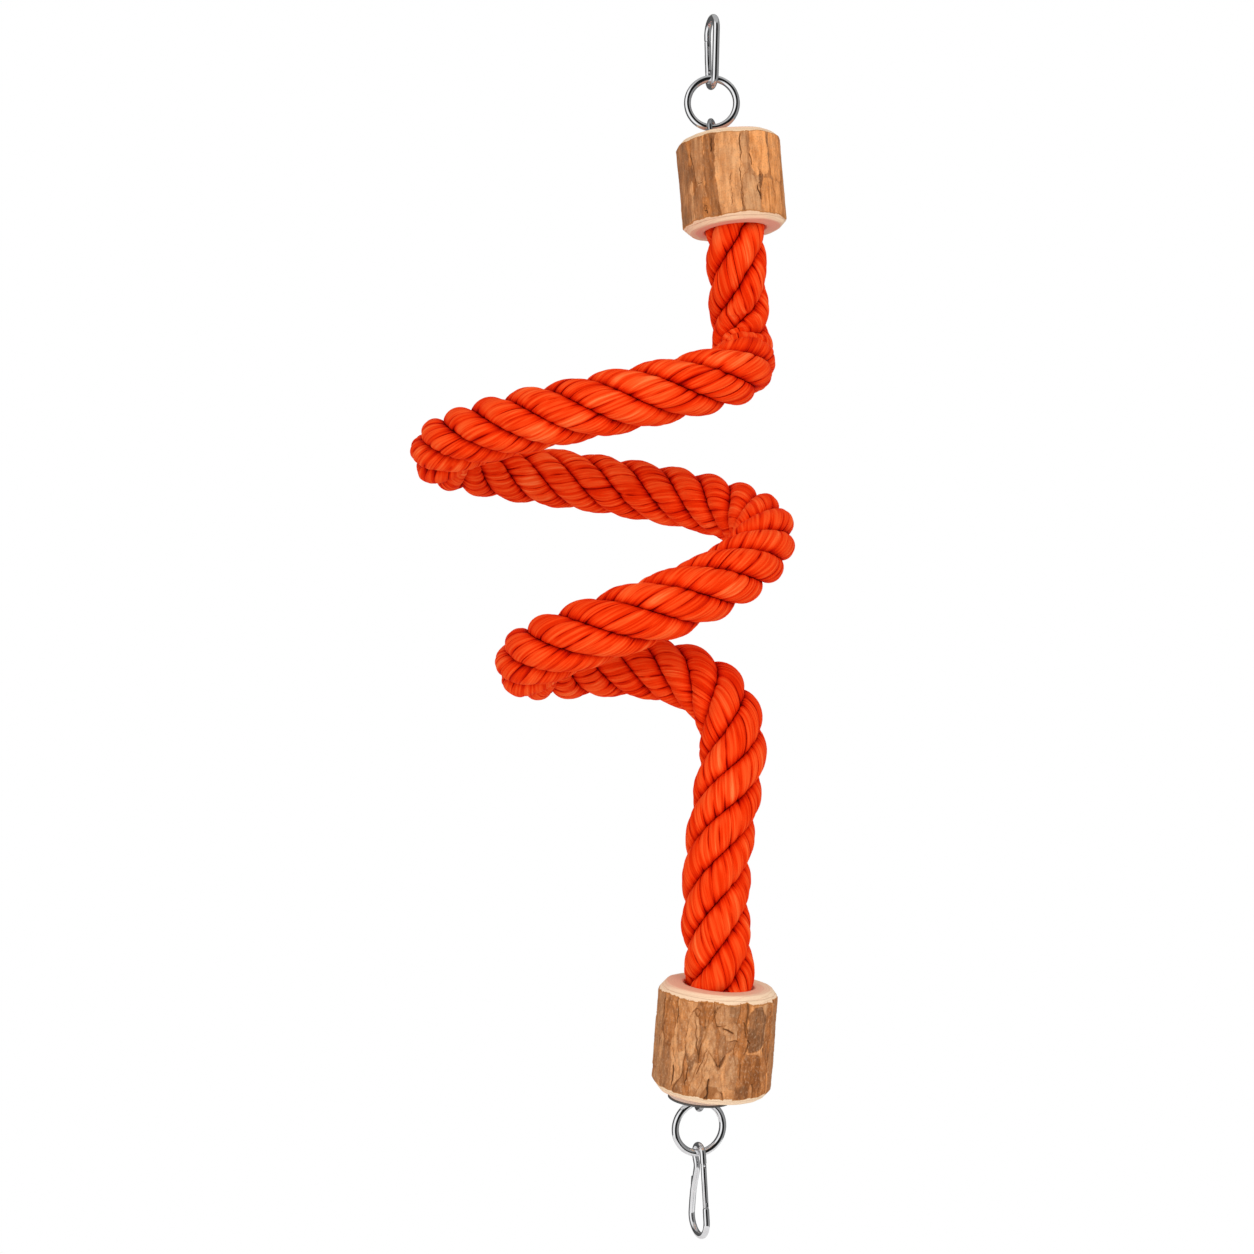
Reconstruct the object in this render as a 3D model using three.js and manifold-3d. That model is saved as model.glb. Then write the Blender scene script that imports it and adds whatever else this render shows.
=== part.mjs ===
// Rope bird toy: a thick rope spiral between two slices of log, hung from a snap hook.
// Millimetres, +Z up, +X to the right and +Y away from someone looking at the toy.
// The origin is the hanging point, at the inside top of the upper hook's bow.

import * as THREE from 'three';
import { mergeVertices } from 'three/addons/utils/BufferGeometryUtils.js';
import Module from 'manifold-3d';

const wasm = await Module();
wasm.setup();

// Clearances, and how far a joined part runs into the one that it grows from
const GAP = 0.3;
const SWING_GAP = 0.5;
const END_GAP = 0.6;
const ROPE_GAP = 0.6;
const ROOT = 2;

// Rings, both alike
const RING_OUTER_D = 64;
const RING_WIRE_D = 8;
const BOTTOM_RING_YAW = 18;

// Snap hooks. The hinge and the nose are measured along the gate side from the bows' tangent points.
const TOP_HOOK = {
  length: 85, wire: 8, wideRadius: 15.5, narrowRadius: 11.5, hinge: 7, nose: 5,
  gateD: 7.6, pinD: 2.8, tongue: 3, noseTongue: 2.6, noseWidth: 4.6, noseReach: 6.6,
  springCurls: 7, padLength: 11, padOnGate: true,
};
const BOTTOM_HOOK = {
  length: 106, wire: 7.2, wideRadius: 18.5, narrowRadius: 9.5, hinge: 10, nose: 14,
  gateD: 6.4, pinD: 2.6, tongue: 2.6, noseTongue: 2.2, noseWidth: 3.8, noseReach: 5.4,
  springCurls: 7, padLength: 14, padOnGate: false,
};
const TOP_HOOK_YAW = 16;
const BOTTOM_HOOK_YAW = 24;
const PAD_PROUD = 1.6;
const PAD_WIDTH = 4.5;
const GATE_WALL = 1.7;
const PLUNGER_LENGTH = 5;
const SPRING_WIRE_D = 0.6;
const SPRING_PITCH = 1.7;

// Eye bolts
const EYE_INNER_D = 11;
const EYE_WIRE_D = 6;
const EYE_YAW = 20;
const SHANK_D = 8;
const COLLAR_D = 11;
const COLLAR_HEIGHT = 4.2;
const THREAD_PAST_NUT = 3;
const NUT_ACROSS_FLATS = 13;
const NUT_HEIGHT = 6.5;
const WASHER_D = 26;
const WASHER_THICK = 2;
const DISH_RIM_D = 70;
const DISH_SEAT_D = 28;
const DISH_DEPTH = 9;
const DISH_LIP = 1;

// Logs. The end wall carries the eye bolt; its washer sits at the foot of a recess, sink deep, where
// there is one. Spare is the free depth between the bolt's inner fittings and the glue.
const TOP_LOG = {
  barkD: 119, height: 104, chamfer: 7, lean: -5, eyeX: -17.5, eyeY: -14, sink: 3, endWall: 37, spare: 1.3,
};
const BOTTOM_LOG = {
  barkD: 131, height: 117, chamfer: 7, lean: 4.5, eyeX: -11.5, eyeY: 0, sink: 0, endWall: 42, spare: 12.3,
};
const BARK_THICK = 3.2;
const MOUTH_LEAD = 10;
const PLUG_THICK = 6;

// Rope and its bendable wire
const ROPE_D = 73;
const CORE_D = 5;
const ROPE_SIDES = 12;
const ROPE_STEPS = 80;
const STEPS_PER_HALF_TURN = 8;

// The rope's route, from the top log's centre. The straight runs are chosen points. Each half turn of
// the spiral goes from one side point to the next; its bulge is how far its middle stands to the back
// (+Y) or the front (-Y), and up or down.
const UPPER_RUN = [[7, 8, -102], [11, 23, -149], [14, 16, -183], [14, -9, -204]];
const SIDES = [[12, -38, -211], [-339, 46, -306], [37, 4, -398], [-232, -24, -552]];
const BULGES = [[-102, -10], [125, 21], [-116, -17]];
const LOWER_RUN = [
  [-224, 7, -555], [-201, 33, -555], [-167, 50, -554], [-127, 56, -553], [-85, 50, -557], [-48, 33, -567],
  [-18, 9, -586], [-3, -16, -613], [0, -34, -646], [-7, -48, -690], [-18, -62, -755], [-22, -69, -820],
];
const BOTTOM_LOG_AT = [-23, -72, -961];

const CHROME = { color: 0xc9cbce, roughness: 0.16, metalness: 1 };
const STEEL = { color: 0x9a9da1, roughness: 0.35, metalness: 1 };
const WOOD = { color: 0xe0a07c, roughness: 0.7, metalness: 0 };
const BARK = { color: 0xb8794a, roughness: 0.85, metalness: 0 };
const ROPE = { color: 0xee420d, roughness: 0.9, metalness: 0 };
const GLUE = { color: 0xe9dfc4, roughness: 0.5, metalness: 0 };

const radians = THREE.MathUtils.degToRad;
const vec = (x, y, z) => new THREE.Vector3(x, y, z);

// Signed volume of a geometry's triangles, positive when they face outwards.
function signedVolume(geometry) {
  const at = geometry.attributes.position;
  const index = geometry.index;
  const [a, b, c] = [vec(), vec(), vec()];
  let sum = 0;
  for (let i = 0; i < index.count; i += 3) {
    a.fromBufferAttribute(at, index.getX(i));
    b.fromBufferAttribute(at, index.getX(i + 1));
    c.fromBufferAttribute(at, index.getX(i + 2));
    sum += a.dot(b.cross(c));
  }
  return sum / 6;
}

// Keeps only positions, welds the seams and turns the faces outwards.
function welded(geometry) {
  const bare = new THREE.BufferGeometry();
  bare.setAttribute('position', geometry.attributes.position.clone());
  if (geometry.index) bare.setIndex(geometry.index.clone());
  const out = mergeVertices(bare, 1e-3);
  const kept = [];
  for (let i = 0; i < out.index.count; i += 3) {
    const [a, b, c] = [out.index.getX(i), out.index.getX(i + 1), out.index.getX(i + 2)];
    if (a !== b && b !== c && c !== a) kept.push(a, b, c);
  }
  out.setIndex(kept);
  if (signedVolume(out) < 0) {
    for (let i = 0; i < kept.length; i += 3) [kept[i], kept[i + 1]] = [kept[i + 1], kept[i]];
    out.setIndex(kept);
  }
  return out;
}

function solidOf(geometry) {
  const g = welded(geometry);
  return new wasm.Manifold(new wasm.Mesh({
    numProp: 3,
    vertProperties: new Float32Array(g.attributes.position.array),
    triVerts: new Uint32Array(g.index.array),
  }));
}

function geometryOf(solid) {
  const mesh = solid.getMesh();
  const out = new THREE.BufferGeometry();
  out.setAttribute('position', new THREE.BufferAttribute(new Float32Array(mesh.vertProperties), 3));
  out.setIndex(Array.from(mesh.triVerts));
  return welded(out);
}

// First geometry joined with the added ones, then cut by the removed ones.
function shaped(base, added, removed = []) {
  let solid = solidOf(base);
  for (const g of added) solid = solid.add(solidOf(g));
  for (const g of removed) solid = solid.subtract(solidOf(g));
  return geometryOf(solid);
}

function piece(name, geometry, look) {
  const mesh = new THREE.Mesh(welded(geometry), new THREE.MeshStandardMaterial(look));
  mesh.name = name;
  return mesh;
}

// Solid of revolution about Z from [radius, height] points.
function turned(points, segments) {
  const profile = [...points, points[0]].map(([r, z]) => new THREE.Vector2(r, z));
  return new THREE.LatheGeometry(profile, segments).rotateX(Math.PI / 2);
}

function rod(diameter, length, sides = 16) {
  return new THREE.CylinderGeometry(diameter / 2, diameter / 2, length, sides).rotateX(Math.PI / 2);
}

function polygon(diameter, sides, turn = 0) {
  const points = [];
  for (let i = 0; i < sides; i += 1) {
    const angle = turn + (2 * Math.PI * i) / sides;
    points.push(new THREE.Vector2((diameter / 2) * Math.cos(angle), (diameter / 2) * Math.sin(angle)));
  }
  return points;
}

// Tube along a curve, with an optional bore.
function tube(curve, diameter, sides, steps, bore = 0) {
  const section = new THREE.Shape(polygon(diameter, sides, Math.PI / sides));
  if (bore > 0) section.holes.push(new THREE.Path(polygon(bore, 8)));
  return new THREE.ExtrudeGeometry(section, { steps, extrudePath: curve, bevelEnabled: false });
}

// A flat path of lines and arcs, stood upright in the XZ plane.
class UprightPath extends THREE.Curve {
  constructor(path) {
    super();
    this.path = path;
  }

  getPoint(t, target = vec()) {
    const p = this.path.getPoint(t);
    return target.set(p.x, 0, p.y);
  }
}

class Helix extends THREE.Curve {
  constructor(radius, curls, length) {
    super();
    Object.assign(this, { radius, curls, length });
  }

  getPoint(t, target = vec()) {
    const angle = 2 * Math.PI * this.curls * t;
    return target.set(this.radius * Math.cos(angle), this.radius * Math.sin(angle), this.length * t);
  }
}

// Least clear distance of a tube to itself, between points at least `apart` from each other along it.
function printLeastGap(name, curve, diameter, apart, count = 360) {
  const points = curve.getSpacedPoints(count);
  const skip = Math.ceil((apart * count) / curve.getLength());
  let least = Infinity;
  for (let i = 0; i < points.length; i += 1) {
    for (let j = i + skip; j < points.length; j += 1) {
      least = Math.min(least, points[i].distanceTo(points[j]));
    }
  }
  console.log(`${name}: least gap to itself ${(least - diameter).toFixed(2)} mm`);
}

const ringRadius = (RING_OUTER_D - RING_WIRE_D) / 2;
const eyeRadius = (EYE_INNER_D + EYE_WIRE_D) / 2;
const eyeOuterD = EYE_INNER_D + 2 * EYE_WIRE_D;
const coreBore = CORE_D + 2 * GAP;
const seatThick = WASHER_THICK + 2 * GAP;

// Depth that the inner washer, the nut, the thread past it and the glue plug take up in a log's bore
const fittingsDepth = 4 * GAP + WASHER_THICK + NUT_HEIGHT + THREAD_PAST_NUT + PLUG_THICK;
const ropeSeat = (spec) => spec.height - spec.sink - spec.endWall - fittingsDepth - spec.spare;
const washerSeat = (spec) => spec.height / 2 - spec.sink;
const eyeInLog = (spec) => vec(spec.eyeX, spec.eyeY, washerSeat(spec) + seatThick + eyeOuterD / 2);

// Levels down the chain, by wire centres
const topHookSpan = TOP_HOOK.length - TOP_HOOK.wire;
const topHookFoot = TOP_HOOK.wire / 2 - topHookSpan;
const topRingZ = topHookFoot + (TOP_HOOK.wire + RING_WIRE_D) / 2 + SWING_GAP - ringRadius;
const topEyeZ = topRingZ - ringRadius + (RING_WIRE_D + EYE_WIRE_D) / 2 + SWING_GAP - eyeRadius;

function ring(name, yaw) {
  const mesh = piece(name, new THREE.TorusGeometry(ringRadius, RING_WIRE_D / 2, 12, 40), CHROME);
  mesh.rotation.set(Math.PI / 2, 0, radians(yaw), 'ZYX');
  return mesh;
}

// The pear-shaped centreline of a snap hook: narrow bow at the foot, gate on the -X side.
function hookLayout(spec) {
  const span = spec.length - spec.wire;
  const low = new THREE.Vector2(0, spec.narrowRadius);
  const high = new THREE.Vector2(0, span - spec.wideRadius);
  const slope = Math.asin((spec.wideRadius - spec.narrowRadius) / (high.y - low.y));
  const out = new THREE.Vector2(-Math.cos(slope), -Math.sin(slope));
  const gateLow = low.clone().addScaledVector(out, spec.narrowRadius);
  const gateHigh = high.clone().addScaledVector(out, spec.wideRadius);
  const along = gateHigh.clone().sub(gateLow).normalize();
  const pivot = gateLow.clone().addScaledVector(along, spec.hinge);
  const nose = gateHigh.clone().addScaledVector(along, -spec.nose);
  const gateLength = nose.distanceTo(pivot) - END_GAP;
  return { low, high, slope, along, gateLow, pivot, nose, gateLength };
}

// Moves a geometry built along +Z from the pivot onto the hook's gate side.
function onGateSide(geometry, layout) {
  const lean = Math.atan2(layout.along.x, layout.along.y);
  return geometry.rotateY(lean).translate(layout.pivot.x, 0, layout.pivot.y);
}

function hookBody(spec, layout) {
  const { low, high, slope, along, gateLow, pivot, nose } = layout;
  const hingeEnd = pivot.clone().addScaledVector(along, -spec.gateD / 2 - END_GAP);
  const path = new THREE.Path();
  path.moveTo(hingeEnd.x, hingeEnd.y);
  path.lineTo(gateLow.x, gateLow.y);
  path.absarc(low.x, low.y, spec.narrowRadius, Math.PI + slope, 2 * Math.PI - slope, false);
  path.absarc(high.x, high.y, spec.wideRadius, -slope, Math.PI + slope, false);
  path.lineTo(nose.x, nose.y);
  const wire = tube(new UprightPath(path), spec.wire, 12, 64);

  const tongueEnd = rod(2 * spec.pinD, spec.tongue).rotateX(Math.PI / 2);
  const tongueLength = spec.gateD / 2 + END_GAP + ROOT;
  const tongue = new THREE.BoxGeometry(2 * spec.pinD, spec.tongue, tongueLength);
  const noseTongue = new THREE.BoxGeometry(spec.noseWidth, spec.noseTongue, spec.noseReach + ROOT);
  const noseAt = layout.gateLength + END_GAP + (ROOT - spec.noseReach) / 2;
  const pinHole = rod(spec.pinD + 2 * GAP, spec.wire * 2, 12).rotateX(Math.PI / 2);
  const added = [
    onGateSide(tongueEnd, layout),
    onGateSide(tongue.translate(0, 0, -tongueLength / 2), layout),
    onGateSide(noseTongue.translate(0, 0, noseAt), layout),
  ];
  if (!spec.padOnGate) added.push(spinePad(spec, layout));
  return shaped(wire, added, [onGateSide(pinHole, layout)]);
}

// The plain raised pad half-way along the spine, where such hooks are stamped.
function spinePad(spec, layout) {
  const pad = new THREE.BoxGeometry(spec.wire, PAD_WIDTH, spec.padLength);
  const middle = (layout.low.y + layout.high.y) / 2;
  const spineX = (spec.wideRadius + spec.narrowRadius) / 2;
  return pad.rotateY(layout.slope).translate(spineX + PAD_PROUD, 0, middle);
}

// Inside a gate: the slot round the hinge tongue, then the bore with the plunger and the spring.
const hingeSlotTop = (spec) => spec.pinD + END_GAP;
const gateBore = (spec) => spec.gateD - 2 * GATE_WALL;
const springStart = (spec) => hingeSlotTop(spec) + PLUNGER_LENGTH + 2 * GAP;
const springLength = (spec) => spec.springCurls * SPRING_PITCH;

function hookGate(spec, layout) {
  const length = layout.gateLength;
  const bar = rod(spec.gateD, length, 20).translate(0, 0, length / 2);
  const heel = new THREE.SphereGeometry(spec.gateD / 2, 20, 10).rotateX(Math.PI / 2);
  const slotTop = hingeSlotTop(spec);
  const slotDepth = slotTop + spec.gateD / 2 + ROOT;
  const hingeSlot = new THREE.BoxGeometry(spec.wire * 2, spec.tongue + 2 * GAP, slotDepth);
  const noseDepth = spec.noseReach + ROOT;
  const noseSlot = new THREE.BoxGeometry(spec.wire * 2, spec.noseTongue + 2 * GAP, noseDepth);
  const boreDepth = springStart(spec) + springLength(spec) + SPRING_WIRE_D + GAP;
  const bore = rod(gateBore(spec), boreDepth, 12);
  const added = [heel];
  if (spec.padOnGate) {
    const pad = new THREE.BoxGeometry(spec.gateD, PAD_WIDTH, spec.padLength);
    added.push(pad.translate(-PAD_PROUD, 0, length / 2));
  }
  const cut = shaped(bar, added, [
    hingeSlot.translate(0, 0, slotTop - slotDepth / 2),
    noseSlot.translate(0, 0, length - spec.noseReach + noseDepth / 2),
    bore.translate(0, 0, boreDepth / 2),
    rod(spec.pinD + 2 * GAP, spec.wire * 2, 12).rotateX(Math.PI / 2),
  ]);
  return onGateSide(cut, layout);
}

// One snap hook with its gate, rivet, spring and plunger, foot of the narrow bow's wire at the origin.
function snapHook(prefix, spec) {
  const layout = hookLayout(spec);
  const group = new THREE.Group();
  const plunger = rod(gateBore(spec) - 2 * GAP, PLUNGER_LENGTH, 12);
  plunger.translate(0, 0, hingeSlotTop(spec) + GAP + PLUNGER_LENGTH / 2);
  const springTurn = (gateBore(spec) - 2 * GAP - SPRING_WIRE_D) / 2;
  const coil = new Helix(springTurn, spec.springCurls, springLength(spec));
  printLeastGap(`${prefix}_spring`, coil, SPRING_WIRE_D, 3 * springTurn);
  const spring = tube(coil, SPRING_WIRE_D, 5, 8 * spec.springCurls);
  spring.translate(0, 0, springStart(spec) + SPRING_WIRE_D / 2);
  const rivet = rod(spec.pinD, spec.gateD - 2 * GAP, 12).rotateX(Math.PI / 2);
  group.add(
    piece(`${prefix}_body`, hookBody(spec, layout), CHROME),
    piece(`${prefix}_gate`, hookGate(spec, layout), CHROME),
    piece(`${prefix}_rivet`, onGateSide(rivet, layout), STEEL),
    piece(`${prefix}_plunger`, onGateSide(plunger, layout), STEEL),
    piece(`${prefix}_spring`, onGateSide(spring, layout), STEEL),
  );
  return group;
}

// Eye bolt with its shoulder at z = 0, its eye above and its shank below.
function eyeBolt(name, shank) {
  const eye = new THREE.TorusGeometry(eyeRadius, EYE_WIRE_D / 2, 12, 32);
  eye.rotateX(Math.PI / 2).translate(0, 0, eyeOuterD / 2);
  const flare = [[0, 0], [COLLAR_D / 2, 0], [SHANK_D / 2, COLLAR_HEIGHT], [0, COLLAR_HEIGHT]];
  const collar = turned(flare, 20);
  const stem = rod(SHANK_D, shank + ROOT, 20).translate(0, 0, (ROOT - shank) / 2);
  return piece(name, shaped(eye, [collar, stem]), CHROME);
}

function washer(name, thick) {
  const bore = SHANK_D / 2 + GAP;
  const profile = [[bore, 0], [WASHER_D / 2, 0], [WASHER_D / 2, thick], [bore, thick]];
  return piece(name, turned(profile, 28), STEEL);
}

// Dished washer: a flat seat at z = 0 and a rim that stands off the log by its depth.
function dishedWasher(name) {
  const bore = SHANK_D / 2 + GAP;
  const [seat, rim] = [DISH_SEAT_D / 2, DISH_RIM_D / 2];
  const rimTop = DISH_DEPTH + WASHER_THICK;
  const profile = [[bore, 0], [seat, 0], [rim, DISH_DEPTH], [rim, rimTop],
    [rim - DISH_LIP, rimTop], [seat - DISH_LIP, WASHER_THICK], [bore, WASHER_THICK]];
  return piece(name, turned(profile, 40), CHROME);
}

function nut(name) {
  const hexagon = new THREE.Shape(polygon((NUT_ACROSS_FLATS * 2) / Math.sqrt(3), 6));
  hexagon.holes.push(new THREE.Path(polygon(SHANK_D + 2 * GAP, 20)));
  const block = new THREE.ExtrudeGeometry(hexagon, { depth: NUT_HEIGHT, bevelEnabled: false });
  return piece(name, block, STEEL);
}

// One log end, built with its eye at the top (+Z), its mouth at the bottom and its middle at the origin.
function logEnd(prefix, spec, seatWasher) {
  const group = new THREE.Group();
  const [half, chamfer] = [spec.height / 2, spec.chamfer];
  const bark = spec.barkD / 2;
  const wood = bark - BARK_THICK - GAP;
  const face = bark - chamfer;
  const bore = ROPE_D / 2 + ROPE_GAP;
  const boreEnd = washerSeat(spec) - spec.endWall;
  const edge = half - chamfer;
  const body = turned([[0, half], [face, half], [wood, edge + BARK_THICK], [wood, -edge - BARK_THICK],
    [face, -half], [bore, -half], [bore, boreEnd], [0, boreEnd]], 48);
  const hole = rod(SHANK_D + 2 * GAP, spec.height, 20).translate(spec.eyeX, spec.eyeY, boreEnd);
  const spotDepth = fittingsDepth + spec.spare;
  const spotFace = rod(WASHER_D + 2 * GAP, spotDepth, 28);
  spotFace.translate(spec.eyeX, spec.eyeY, boreEnd - spotDepth / 2);
  const cuts = [hole, spotFace];
  if (spec.sink > 0) {
    const recess = rod(WASHER_D + 2 * END_GAP, 2 * spec.sink, 28);
    cuts.push(recess.translate(spec.eyeX, spec.eyeY, half));
  }
  const skin = turned([[wood + GAP, edge], [bark, edge], [bark, -edge], [wood + GAP, -edge]], 48);

  const shank = seatThick + spec.endWall + WASHER_THICK + NUT_HEIGHT + 2 * GAP + THREAD_PAST_NUT;
  const fittings = new THREE.Group();
  fittings.position.set(spec.eyeX, spec.eyeY, washerSeat(spec));
  const bolt = eyeBolt(`${prefix}_eye_bolt`, shank);
  bolt.position.z = seatThick;
  bolt.rotation.z = radians(90 - EYE_YAW);
  seatWasher.position.z = GAP;
  const inner = washer(`${prefix}_inner_washer`, WASHER_THICK);
  inner.position.z = -spec.endWall - GAP - WASHER_THICK;
  const locknut = nut(`${prefix}_eye_nut`);
  locknut.position.z = inner.position.z - GAP - NUT_HEIGHT;
  fittings.add(bolt, seatWasher, inner, locknut);

  const [hollow, rim] = [coreBore / 2, ROPE_D / 2];
  const plug = turned([[hollow, 0], [rim, 0], [rim, PLUG_THICK], [hollow, PLUG_THICK]], 32);
  plug.translate(0, 0, ropeSeat(spec) - half + GAP);
  group.add(
    piece(`${prefix}_log_wood`, shaped(body, [], cuts), WOOD),
    piece(`${prefix}_log_bark`, skin, BARK),
    piece(`${prefix}_glue_plug`, plug, GLUE),
    fittings,
  );
  return group;
}

// Points down the rope's axis in a log, from the end of the rope to just past the mouth.
function seatPoints(log, spec) {
  const mouth = -spec.height / 2;
  const seat = ropeSeat(spec);
  const depths = [mouth + seat, mouth + seat / 2, mouth, mouth - MOUTH_LEAD];
  return depths.map((z) => vec(0, 0, z).applyMatrix4(log.matrix));
}

// One turn after another, half a turn at a time, between the points at the spiral's sides. As in a
// helix, the rope goes round as it comes down at a steady rate.
function spiralPoints(origin) {
  const sides = SIDES.map((p) => vec(...p).add(origin));
  const points = [sides[0]];
  for (let i = 0; i < BULGES.length; i += 1) {
    const middle = sides[i].clone().add(sides[i + 1]).multiplyScalar(0.5);
    const arm = sides[i].clone().sub(sides[i + 1]).multiplyScalar(0.5);
    const bulge = vec(0, ...BULGES[i]);
    for (let step = 1; step <= STEPS_PER_HALF_TURN; step += 1) {
      const share = step / STEPS_PER_HALF_TURN;
      const point = middle.clone().addScaledVector(arm, Math.cos(Math.PI * share));
      point.z = THREE.MathUtils.lerp(sides[i].z, sides[i + 1].z, share);
      points.push(point.addScaledVector(bulge, Math.sin(Math.PI * share)));
    }
  }
  return points;
}

const toy = new THREE.Group();

const topHook = snapHook('top_hook', TOP_HOOK);
topHook.position.z = topHookFoot;
topHook.rotation.z = radians(TOP_HOOK_YAW - 90);
toy.add(topHook);

const topRing = ring('top_ring', 0);
topRing.position.z = topRingZ;
toy.add(topRing);

// The top log hangs by its eye, which sits off its middle.
const topLog = logEnd('top', TOP_LOG, washer('top_eye_washer', WASHER_THICK));
topLog.rotation.y = radians(TOP_LOG.lean);
topLog.position.copy(vec(0, 0, topEyeZ).sub(eyeInLog(TOP_LOG).applyEuler(topLog.rotation)));
topLog.updateMatrix();
toy.add(topLog);

const bottomLog = logEnd('bottom', BOTTOM_LOG, dishedWasher('bottom_dished_washer'));
bottomLog.rotation.set(Math.PI, radians(BOTTOM_LOG.lean), 0, 'YXZ');
bottomLog.position.copy(topLog.position).add(vec(...BOTTOM_LOG_AT));
bottomLog.updateMatrix();
toy.add(bottomLog);

const upperRun = UPPER_RUN.map((p) => vec(...p).add(topLog.position));
const lowerRun = LOWER_RUN.map((p) => vec(...p).add(topLog.position));
const route = new THREE.CatmullRomCurve3([
  ...seatPoints(topLog, TOP_LOG), ...upperRun, ...spiralPoints(topLog.position),
  ...lowerRun, ...seatPoints(bottomLog, BOTTOM_LOG).reverse(),
], false, 'centripetal');
printLeastGap('rope', route, ROPE_D, 2.2 * ROPE_D);
console.log(`rope: length ${route.getLength().toFixed(0)} mm`);
toy.add(piece('rope', tube(route, ROPE_D, ROPE_SIDES, ROPE_STEPS, coreBore), ROPE));
toy.add(piece('core_wire', tube(route, CORE_D, 8, ROPE_STEPS), STEEL));

// Lower ring and hook, hung from the lower eye
const lowerEye = eyeInLog(BOTTOM_LOG).applyMatrix4(bottomLog.matrix);
const bottomRingTop = lowerEye.z - eyeRadius + (RING_WIRE_D + EYE_WIRE_D) / 2 + SWING_GAP;
const bottomRingFoot = bottomRingTop - 2 * ringRadius;
const bottomRing = ring('bottom_ring', BOTTOM_RING_YAW);
bottomRing.position.set(lowerEye.x, lowerEye.y, bottomRingTop - ringRadius);
toy.add(bottomRing);

const bottomHook = snapHook('bottom_hook', BOTTOM_HOOK);
const bottomHookTop = bottomRingFoot + (RING_WIRE_D + BOTTOM_HOOK.wire) / 2 + SWING_GAP;
bottomHook.position.set(lowerEye.x, lowerEye.y, bottomHookTop);
bottomHook.rotation.set(Math.PI, 0, radians(BOTTOM_HOOK_YAW + 90), 'ZYX');
toy.add(bottomHook);

export default toy;
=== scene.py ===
"""Rope bird toy: the looks of a thick rope spiral between two slices of log, hung from a snap hook.

Every new piece is a surface of two parameters worked out as numpy arrays in millimetres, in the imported
model's frame: +Z up, +X to the right and +Y away from the viewer, with the hanging point at the origin.
"""
import math
from types import SimpleNamespace as Sizes

import bmesh
import bpy
import numpy as np
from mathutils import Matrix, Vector


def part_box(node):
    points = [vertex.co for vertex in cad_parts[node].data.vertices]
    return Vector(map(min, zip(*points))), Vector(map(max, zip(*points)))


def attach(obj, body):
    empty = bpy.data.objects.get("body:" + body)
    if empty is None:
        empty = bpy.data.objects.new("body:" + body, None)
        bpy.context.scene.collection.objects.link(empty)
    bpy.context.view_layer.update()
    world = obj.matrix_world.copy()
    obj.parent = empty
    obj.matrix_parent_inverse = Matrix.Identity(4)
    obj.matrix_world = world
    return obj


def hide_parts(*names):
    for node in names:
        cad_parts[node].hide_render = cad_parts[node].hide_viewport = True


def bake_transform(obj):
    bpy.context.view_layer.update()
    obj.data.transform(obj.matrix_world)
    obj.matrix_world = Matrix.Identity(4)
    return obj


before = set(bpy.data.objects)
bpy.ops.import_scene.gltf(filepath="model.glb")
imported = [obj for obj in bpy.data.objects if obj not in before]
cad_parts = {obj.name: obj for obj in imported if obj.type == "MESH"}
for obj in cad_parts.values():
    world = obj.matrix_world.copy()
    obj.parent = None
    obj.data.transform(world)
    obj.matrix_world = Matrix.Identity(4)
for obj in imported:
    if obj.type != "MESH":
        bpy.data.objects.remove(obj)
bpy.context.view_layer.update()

MM = 0.001
TAU = 2 * math.pi
SEED = 7

# Camera: level, at the height of the spiral's lower half
CAMERA_AT = (-97, -1884, -690.6)
LENS, SENSOR = 47.37, 36

# Logs, as in the part: the body each rides on, radius over the bark, height, cut rim, lean, the eye's place,
# its washer's recess, the end wall, and the rope's seat and bore
TOP_LOG = Sizes(
    prefix="top", body="perch", bark=59.5, height=104, chamfer=7, rim=7, lean=-5, eye=(-17.5, -14),
    sink=3, wall=37, seat=44, bore=35.8,
)
BOTTOM_LOG = Sizes(
    prefix="bottom", body="lower_log", bark=65.5, height=117, chamfer=7, rim=8.5, lean=4.5,
    eye=(-11.5, 0), sink=0, wall=42, seat=44, bore=39.4,
)
BOTTOM_LOG_AT = (-23, -72, -961)
MOUTH_LEAD = 10

# The rope's route from the top log's centre, as in the part
UPPER_RUN = [[7, 8, -102], [11, 23, -149], [14, 16, -183], [14, -9, -204]]
SIDES = [[12, -38, -211], [-339, 46, -306], [37, 4, -398], [-232, -24, -552]]
BULGES = [[-102, -10], [125, 21], [-116, -17]]
STEPS_PER_HALF_TURN = 8
LOWER_RUN = [
    [-224, 7, -555], [-201, 33, -555], [-167, 50, -554], [-127, 56, -553], [-85, 50, -557], [-48, 33, -567],
    [-18, 9, -586], [-3, -16, -613], [0, -34, -646], [-7, -48, -690], [-18, -62, -755], [-22, -69, -820],
]

# Rope: it thickens a little from top to bottom, and its strands of yarns turn once in a lay
ROPE_D = 73
ROPE_THIN, ROPE_THICK = 0.96, 1.066
STRANDS = 4
LAY = 196
FIRST_STRAND_TURN = 0.6
STRAND_WIDTH = 1.06
YARNS = 5
YARN_SAMPLES = 14
YARN_TURNS = -3.9
CREASE_DEPTH, YARN_SWELL = 0.9, 0.9
ROPE_STEP = 1.85
CORE_D = 5
PRESS_GAP = 0.3

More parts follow.
